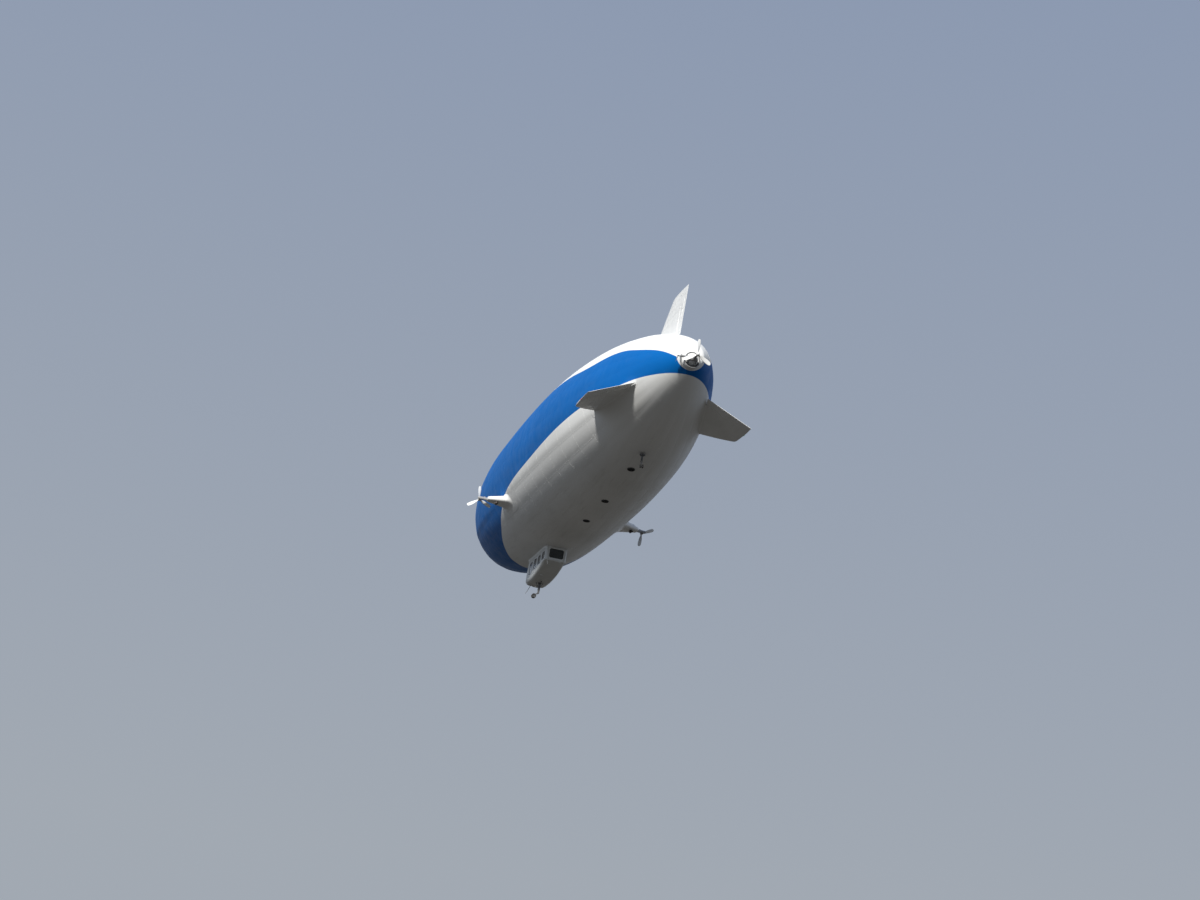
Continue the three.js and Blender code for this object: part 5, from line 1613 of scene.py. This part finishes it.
def build_console():
    console = Form()
    console.slab((-0.62, 0.62), (22.07, 22.27), (-8.86, -8.3), 0.05)
    console.slab((-0.65, 0.65), (21.98, 22.4), (-8.315, -8.275), 0.03)
    console.slab((-0.14, 0.14), (22.12, 22.55), (FLOOR_TOP, -8.56), 0.04)
    console.slab((-0.5, 0.5), (22.1, 22.22), (-8.95, -8.84), 0.03)
    console.piece("pilots_console", "panel", replaces="instrument_panel", sharp=40)
    bezels = Form()
    screens = Form()
    for x in SCREENS_X:
        bezels.slab((x - 0.15, x + 0.15), (DIALS_Y, DIALS_Y + 0.02), (-8.56, -8.345), 0.012)
        screens.slab((x - 0.132, x + 0.132), (DIALS_Y + 0.01, DIALS_Y + 0.024), (-8.545, -8.36), 0.01)
    for side in (-1, 1):
        for k in range(3):
            x = side * (0.2 + 0.15 * k)
            bezels.turned(DIAL_RIM, "y", (x, DIALS_Y, DIALS_Z), 28)
            screens.turned(DIAL_FACE, "y", (x, DIALS_Y, DIALS_Z), 28)
            for tick in range(12):
                a = math.pi / 6 * tick
                bezels.tube([(x + r * math.cos(a), DIALS_Y + 0.012, DIALS_Z + r * math.sin(a))
                             for r in (0.04, 0.047)], 0.002, 4)
            needle_y = DIALS_Y + 0.014
            bezels.tube([(x, needle_y, DIALS_Z), (x + 0.03, needle_y, DIALS_Z + 0.02)], 0.0025, 6)
        x = side * 0.5
        bezels.tube([(x, 22.3, -8.98), (x, 22.42, -8.7), (x, 22.4, -8.55)], 0.016, 10)
        bezels.turned(STICK_GRIP, "z", (x, 22.4, -8.57), 16)
        bezels.slab(sorted((side * 0.34, side * 0.46)), (22.02, 22.1), (-8.98, -8.9), 0.01)
    for x in (-0.06, 0.0, 0.06):
        bezels.tube([(x, 22.42, -8.57), (x, 22.4, -8.47)], 0.007, 8)
        bezels.turned(LEVER_KNOB, "z", (x, 22.4, -8.48), 14)
    bezels.piece("instrument_bezels", "dark", sharp=35)
    screens.piece("instrument_screens", "screen", sharp=35)


build_gondola()
build_seats()
build_console()


# Stern: an engine cowl whose open back is painted near-black as shade, the tilting gearbox and two propellers

STERN_Z = -0.48
PIVOT_Y = 73.95
TAIL_DISC_Y = 75.0
LATERAL_X = 1.25
# Profiles along Y. Columns: radius, Y
COWL = [(0.66, 72.28), (0.676, 72.32), (0.68, 72.4), (0.68, 73.36), (0.677, 73.46), (0.668, 73.53),
        (0.655, 73.57)]
COWL_RIM = [(0.656, 73.565), (0.648, 73.6), (0.63, 73.615), (0.612, 73.61), (0.602, 73.58), (0.6, 73.5)]
COWL_INSIDE = [(0.601, 73.56), (0.585, 73.45), (0.57, 73.34), (0.3, 73.33), (0, 73.33)]
SLAT_SPACING = 0.1
ARMS_X = (-0.3, 0.3)
ARM_START_Y = 73.3
ARM_HALF_HEIGHT = 0.16
ARM_HALF_WIDTH = 0.05
# An arm's layers. Columns: distance to the side, share of the full outline
ARM_LAYERS = [(-ARM_HALF_WIDTH, 0.96), (-0.044, 1.0), (0.044, 1.0), (ARM_HALF_WIDTH, 0.96)]
# Columns: X, Y, height above or below the stern's axis
BRACE = [(0.2, 73.4, 0.3), (0.5, 73.75, 0.16), (0.72, PIVOT_Y, 0.06)]
# Profiles about the pivot. Columns: radius, place along the line
PIVOT_SHAFT = [(0.0, 0.34), (0.1, 0.34), (0.1, 0.98), (0.112, 0.99), (0.112, 1.04), (0.1, 1.05),
               (0.052, 1.05)]
GEARBOX_DRUM = [(0, -0.238), (0.2, -0.238), (0.226, -0.22), (0.23, -0.2), (0.23, -0.03), (0.222, -0.02),
                (0.222, 0.02), (0.23, 0.03), (0.23, 0.2), (0.226, 0.22), (0.2, 0.238), (0, 0.238)]
GEARBOX_NECK = [(0, 0), (0.15, 0), (0.15, 0.26), (0.112, 0.3), (0.11, 0.8), (0.122, 0.81), (0.122, 0.86),
                (0.1, 0.88), (0, 0.88)]
# Hubs with their spinners. Columns: radius, place along the propeller's axis
TAIL_HUB = [(0, -0.153), (0.12, -0.153), (0.132, -0.14), (0.132, 0.07), (0.126, 0.11), (0.108, 0.155),
            (0.078, 0.2), (0.04, 0.23), (0, 0.238)]
LATERAL_HUB = [(0, -0.12), (0.03, -0.112), (0.055, -0.085), (0.074, -0.04), (0.08, 0.0), (0.08, 0.15),
               (0.072, 0.165), (0, 0.166)]


def build_stern():
    centre = (0, 0, STERN_Z)
    pivot = (0, PIVOT_Y, STERN_Z)
    cowl = Form()
    cowl.turned(COWL, "y", centre, 72)
    cowl.piece("stern_cowl_ring", "white", replaces="stern_cowl", slot="grey_metal", sharp=50)
    rim = Form()
    rim.turned(COWL_RIM, "y", centre, 72)
    rim.piece("stern_cowl_rim", "grey", sharp=60)
    # The cowl's back plate and slats are near-black: painted shade for the depth of the open back.
    inside = Form()
    inside.turned(COWL_INSIDE, "y", centre, 56)
    for k in range(-5, 6):
        half = math.sqrt(0.565 ** 2 - (k * SLAT_SPACING) ** 2)
        z = STERN_Z + k * SLAT_SPACING
        inside.slab((-half, half), (73.36, 73.46), (z - 0.012, z + 0.012), 0.006)
    inside.piece("stern_cowl_inside", "void", sharp=50)
    carrier = Form()
    # Each arm ends in a half round about the pivot.
    angles = [math.radians(a) for a in range(15, 180, 15)]
    outline = [(ARM_START_Y, STERN_Z - ARM_HALF_HEIGHT), (PIVOT_Y, STERN_Z - ARM_HALF_HEIGHT)]
    outline += [(PIVOT_Y + ARM_HALF_HEIGHT * math.sin(a),
                 STERN_Z - ARM_HALF_HEIGHT * math.cos(a)) for a in angles]
    outline += [(PIVOT_Y, STERN_Z + ARM_HALF_HEIGHT), (ARM_START_Y, STERN_Z + ARM_HALF_HEIGHT)]
    for x in ARMS_X:
        rows = [[(x + side, lerp(73.6, y, share), lerp(STERN_Z, z, share)) for y, z in outline]
                for side, share in ARM_LAYERS]
        carrier.sheet(rows, around=True, ends=True)
        outer = x + math.copysign(ARM_HALF_WIDTH, x)
        carrier.bolt_circle((outer, PIVOT_Y, STERN_Z), 0.12, 6, "x", 0.014, math.copysign(0.012, x))
    carrier.turned(PIVOT_SHAFT, "x", pivot, 32)
    for way in (1, -1):
        carrier.tube([(x, y, STERN_Z + way * dz) for x, y, dz in BRACE], 0.028, 10)
    carrier.piece("tail_carrier_arms", "grey", sharp=40)

    gearbox = Form()
    gearbox.turned(GEARBOX_DRUM, "x", pivot, 48)
    gearbox.turned(GEARBOX_NECK, "y", pivot, 40)
    for k in range(8):
        a = math.pi / 4 * k
        gearbox.tube([(0.14 * math.cos(a), PIVOT_Y + 0.24, STERN_Z + 0.14 * math.sin(a)),
                      (0.112 * math.cos(a), PIVOT_Y + 0.5, STERN_Z + 0.112 * math.sin(a))], 0.012, 6)
    gearbox.piece("tail_gearbox_casing", "grey", "tail_swivel", replaces="tail_gearbox", slot="bare_metal",
                  sharp=38)

    astern = Matrix.Translation((0, TAIL_DISC_Y, STERN_Z))
    sideways = Matrix.Translation((LATERAL_X, PIVOT_Y, STERN_Z)) @ Matrix.Rotation(math.radians(90), 4, "Z")
    propeller("tail_propeller", "tail_rotor", 1.25, astern, 0, TAIL_HUB)
    propeller("lateral_propeller", "lateral_rotor", 0.7, sideways, 0, LATERAL_HUB)


# Landing gear, made trailing aft of a leg at the origin and then turned

# Columns: name, leg's Y, turn, leg's radius, Z of its top and bottom, foot's radius, trail, axle's Z,
# wheel's radius, tyre's width, wheels' spacing, share of the main gear's size
GEARS = [
    ("main_gear", 24.6, -90, 0.085, -9.55, -10.55, 0.2, 0.42, -11.0, 0.235, 0.15, 0.27, 1.0),
    ("tail_gear", 61.6, 0, 0.06, -5.22, -6.0, 0.24, 0.26, -6.26, 0.17, 0.1, 0.19, 0.7),
]


# Braces of the main gear's leg, the second on both sides
FRONT_BRACE = [(0, 0.02, -10.17), (0, 0.4, -9.88), (0, 0.78, -9.56)]
SIDE_BRACE = [(0.02, -0.02, -10.1), (0.2, -0.12, -9.84), (0.34, -0.2, -9.56)]
TYRE_GROOVES = (-0.3, 0.0, 0.3)
# Half a rim. Columns: share of the wheel's radius, share of half the tyre's width
RIM = [(0.2, 0.5), (0.26, 0.3), (0.46, 0.36), (0.54, 0.7), (0.575, 0.78)]
TYRE_SHOULDER = [(0.56, -0.8), (0.66, -0.96), (0.8, -1.0), (0.92, -0.86), (0.985, -0.52)]


def build_gear(name, y, turn, leg, top, bottom, foot, trail, axle, wheel, width, spacing, size):
    word = name.split("_")[0]
    strut = Form(Matrix.Translation((0, y, 0)))
    strut.turned([(0, top + 0.06), (foot, top + 0.05), (foot, top - 0.02), (foot * 0.94, top - 0.05 * size),
                  (foot * 0.8, top - 0.09 * size), (leg * 1.7, top - 0.16 * size),
                  (leg * 1.42, top - 0.3 * size),
                  (leg * 1.36, bottom + 0.36 * size), (leg * 1.5, bottom + 0.34 * size),
                  (leg * 1.5, bottom + 0.27 * size), (leg * 1.3, bottom + 0.25 * size),
                  (leg * 1.26, bottom + 0.06),
                  (leg * 1.3, bottom + 0.05), (leg * 1.3, bottom + 0.004),
                  (0, bottom + 0.003)], "z", (0, 0, 0), 36)
    strut.bolt_circle((0, 0, top - 0.055 * size), foot * 0.84, 8, "z", 0.016 * size, -0.016, 0.5)
    if word == "main":
        strut.tube(FRONT_BRACE, [0.03, 0.034, 0.03], 14)
        strut.slab((-0.05, 0.05), (0.7, 0.86), (-9.6, -9.49), 0.02)
        for side in (-1, 1):
            strut.tube([(side * px, py, pz) for px, py, pz in SIDE_BRACE], 0.024, 12)
            strut.slab(sorted((side * 0.29, side * 0.39)), (-0.25, -0.15), (-9.585, -9.55), 0.015)
    strut.piece(f"{name}_strut", "leg", replaces=f"{name}_leg", sharp=40)

    turned = Matrix.Translation((0, y, 0)) @ Matrix.Rotation(math.radians(turn), 4, "Z")
    castor = Form(turned)
    collar = leg * 1.16
    castor.turned([(0, bottom - 0.004), (collar * 0.94, bottom - 0.004), (collar, bottom - 0.012),
                   (collar, bottom - 0.12),
                   (collar * 0.9, bottom - 0.135), (0, bottom - 0.136)], "z", (0, 0, 0), 32)
    for side in (-1, 1):
        x = side * 0.03 * size
        castor.tube([(x, 0.02, bottom - 0.05), (x, trail * 0.5, lerp(bottom, axle, 0.42)),
                     (x * 0.8, trail, axle)],
                    [0.05 * size, 0.042 * size, 0.04 * size], 14)
    castor.tube([(0, -0.01, bottom - 0.12), (0, trail * 0.4, lerp(bottom, axle, 0.66)),
                 (0, trail * 0.86, axle)],
                [0.022 * size] * 3, 10)
    castor.rod(0.066 * size, "x", -0.037 * size, 0.037 * size, (0, trail, axle), 24)
    castor.piece(f"{name}_fork", "leg", f"{word}_castor", replaces=f"{name}_castor", sharp=40)

    tyres = Form(turned)
    rims = Form(turned)
    half = width / 2
    for side in (-1, 1):
        x = side * spacing / 2
        profile = [(wheel * r, half * a) for r, a in TYRE_SHOULDER]
        for groove in TYRE_GROOVES:
            profile += [(wheel, half * (groove - 0.08)), (wheel * 0.97, half * (groove - 0.05)),
                        (wheel * 0.97, half * (groove + 0.05)), (wheel, half * (groove + 0.08))]
        profile += [(r, -a) for r, a in profile[4::-1]]
        tyres.turned([(r, x + a) for r, a in profile], "x", (0, trail, axle), 48)
        rim = [(wheel * r, x - half * a) for r, a in RIM]
        rim += [(wheel * r, x + half * a) for r, a in RIM[::-1]]
        rims.turned([(0.02, x - half * 0.5), *rim, (0.02, x + half * 0.5)], "x", (0, trail, axle), 40)
        for face in (-1, 1):
            rims.bolt_circle((x + face * half * 0.33, trail, axle), wheel * 0.36, 6, "x", 0.012 * size,
                             face * 0.012)
    reach = spacing / 2 + half * 0.6
    rims.rod(0.03 * size, "x", -reach, reach, (0, trail, axle), 20)
    tyres.piece(f"{name}_tyres", "rubber", f"{word}_wheels", replaces=f"{name}_wheels", sharp=35)
    rims.piece(f"{name}_rims", "engine", f"{word}_wheels", sharp=35)


# Columns: CAD node, Y
VALVES = [("belly_valve_forward", 43.0), ("belly_valve_middle", 49.8), ("belly_valve_aft", 58.2)]
# Columns: radius, height over the hull's skin
VALVE_RING = [(0.34, 0.05), (0.332, -0.02), (0.322, -0.058), (0.305, -0.068), (0.288, -0.062),
              (0.28, -0.04),
              (0.278, 0.02)]
GRILLE_SPACING = 0.058
# Columns: radius, Y
PROBE = [(0, -0.5), (0.1, -0.5), (0.135, -0.492), (0.165, -0.47), (0.2, -0.42), (0.2, -0.35),
         (0.18, -0.325),
         (0.13, -0.28), (0.112, -0.23), (0.11, -0.1), (0.13, -0.08), (0.13, 0.0), (0.11, 0.02),
         (0.11, 0.28)]
PROBE_FACE_RING = [(0.05, -0.503), (0.06, -0.51), (0.075, -0.51), (0.085, -0.503)]


def build_valve(name, y):
    ahead, behind = hull_radius(y - 0.3), hull_radius(y + 0.3)
    lean = math.atan2(ahead - behind, 0.6)
    place = Matrix.Translation((0, y, -hull_radius(y))) @ Matrix.Rotation(lean, 4, "X")
    ring = Form(place)
    ring.turned(VALVE_RING, "z", (0, 0, 0), 64)
    ring.piece(f"{name}_ring", "dark", replaces=name, sharp=45)
    grille = Form(place)
    grille.turned([(0.28, -0.02), (0.2, -0.012), (0, -0.01)], "z", (0, 0, 0), 48)
    for k in range(-4, 5):
        slat_y = k * GRILLE_SPACING
        half = math.sqrt(0.27 ** 2 - slat_y ** 2)
        grille.slab((-half, half), (slat_y - 0.008, slat_y + 0.008), (-0.05, -0.015), 0.004)
    grille.piece(f"{name}_grille", "dark", sharp=45)
    bolts = Form(place)
    bolts.bolt_circle((0, 0, -0.064), 0.306, 12, "z", 0.011, -0.01)
    bolts.piece(f"{name}_bolts", "steel", sharp=40)


def build_probe():
    probe = Form()
    probe.turned(PROBE, "y", (0, 0, 0), 48)
    probe.bolt_circle((0, -0.326, 0), 0.165, 12, "y", 0.014, 0.012)
    probe.turned(PROBE_FACE_RING, "y", (0, 0, 0), 32)
    probe.piece("mooring_probe_casting", "bare", replaces="mooring_probe", sharp=38)


build_stern()
for gear in GEARS:
    build_gear(*gear)
for valve in VALVES:
    build_valve(*valve)
build_probe()


# Lights, floor and surroundings

SUN_TOWARDS = Vector((0.45, 0.75, 0.48))
LOW_SKY = (0.36, 0.397, 0.447)
HIGH_SKY = (0.262, 0.32, 0.438)
GROUND_BOUNCE = (0.088, 0.086, 0.083)

world = bpy.data.worlds.new("surroundings")
bpy.context.scene.world = world
world.use_nodes = True
# The sky deepens softly from the horizon up, and dim warm light comes from below it.
nodes, links = world.node_tree.nodes, world.node_tree.links
direction = nodes.new("ShaderNodeSeparateXYZ")
links.new(nodes.new("ShaderNodeTexCoord").outputs["Generated"], direction.inputs[0])


def sky_blend(low, high, colour):
    """A blend by the height of the view direction. The socket of the upper colour stays free."""
    share = nodes.new("ShaderNodeMapRange")
    share.inputs["From Min"].default_value = low
    share.inputs["From Max"].default_value = high
    links.new(direction.outputs["Z"], share.inputs["Value"])
    blend = nodes.new("ShaderNodeMix")
    blend.data_type = "RGBA"
    blend.inputs[6].default_value = (*colour, 1.0)
    links.new(share.outputs["Result"], blend.inputs[0])
    return blend


dome = sky_blend(-0.12, -0.03, GROUND_BOUNCE)
sky = sky_blend(0.05, 0.55, LOW_SKY)
sky.inputs[7].default_value = (*HIGH_SKY, 1.0)
links.new(sky.outputs[2], dome.inputs[7])
links.new(dome.outputs[2], nodes["Background"].inputs["Color"])

sun = bpy.data.objects.new("key_light", bpy.data.lights.new("key_light", "SUN"))
bpy.context.scene.collection.objects.link(sun)
sun.data.energy = 5.4
sun.data.color = (1.0, 0.975, 0.935)
sun.data.angle = math.radians(8)
sun.rotation_euler = SUN_TOWARDS.to_track_quat("Z", "Y").to_euler()


def build_floor():
    look = Look("pale_floor", roughness=0.85)
    look.paint(look.mix(look.steps(look.noise(0.02, 4.0), 0.3, 0.7), (0.6, 0.6, 0.59), (0.57, 0.57, 0.56)))
    mesh = bpy.data.meshes.new("floor")
    reach = 1500.0
    mesh.from_pydata([(-reach, -reach, FLOOR_Z), (reach, -reach, FLOOR_Z), (reach, reach, FLOOR_Z),
                      (-reach, reach, FLOOR_Z)], [], [(0, 1, 2, 3)])
    mesh.materials.append(look.material)
    made = bpy.data.objects.new("floor", mesh)
    bpy.context.scene.collection.objects.link(made)
    return made


floor = build_floor()
# The floor's own light stays off the hull's underside, which the dim light from below fills instead.
floor.visible_diffuse = False
floor.visible_glossy = False

# CAD nodes take finished materials.
NODE_SLOTS = {part["node"]: part["material_slot"] for part in frame["record"]["subparts"]}
SLOT_LOOKS = {
    "envelope_fabric": "envelope", "blue_shell": "envelope", "white_shell": "white", "grey_metal": "grey",
    "bare_metal": "bare", "engine_metal": "engine", "dark_plastic": "dark", "floor_panel": "floor",
    "glazing": "glass", "seat_fabric": "seat", "tyre_rubber": "rubber",
}
for cad_name, cad_node in frame["nodes"].items():
    look_name = SLOT_LOOKS[NODE_SLOTS.get(cad_name, "white_shell")]
    for index in range(len(cad_node.material_slots)):
        cad_node.material_slots[index].material = LOOKS[look_name]

bpy.context.view_layer.update()
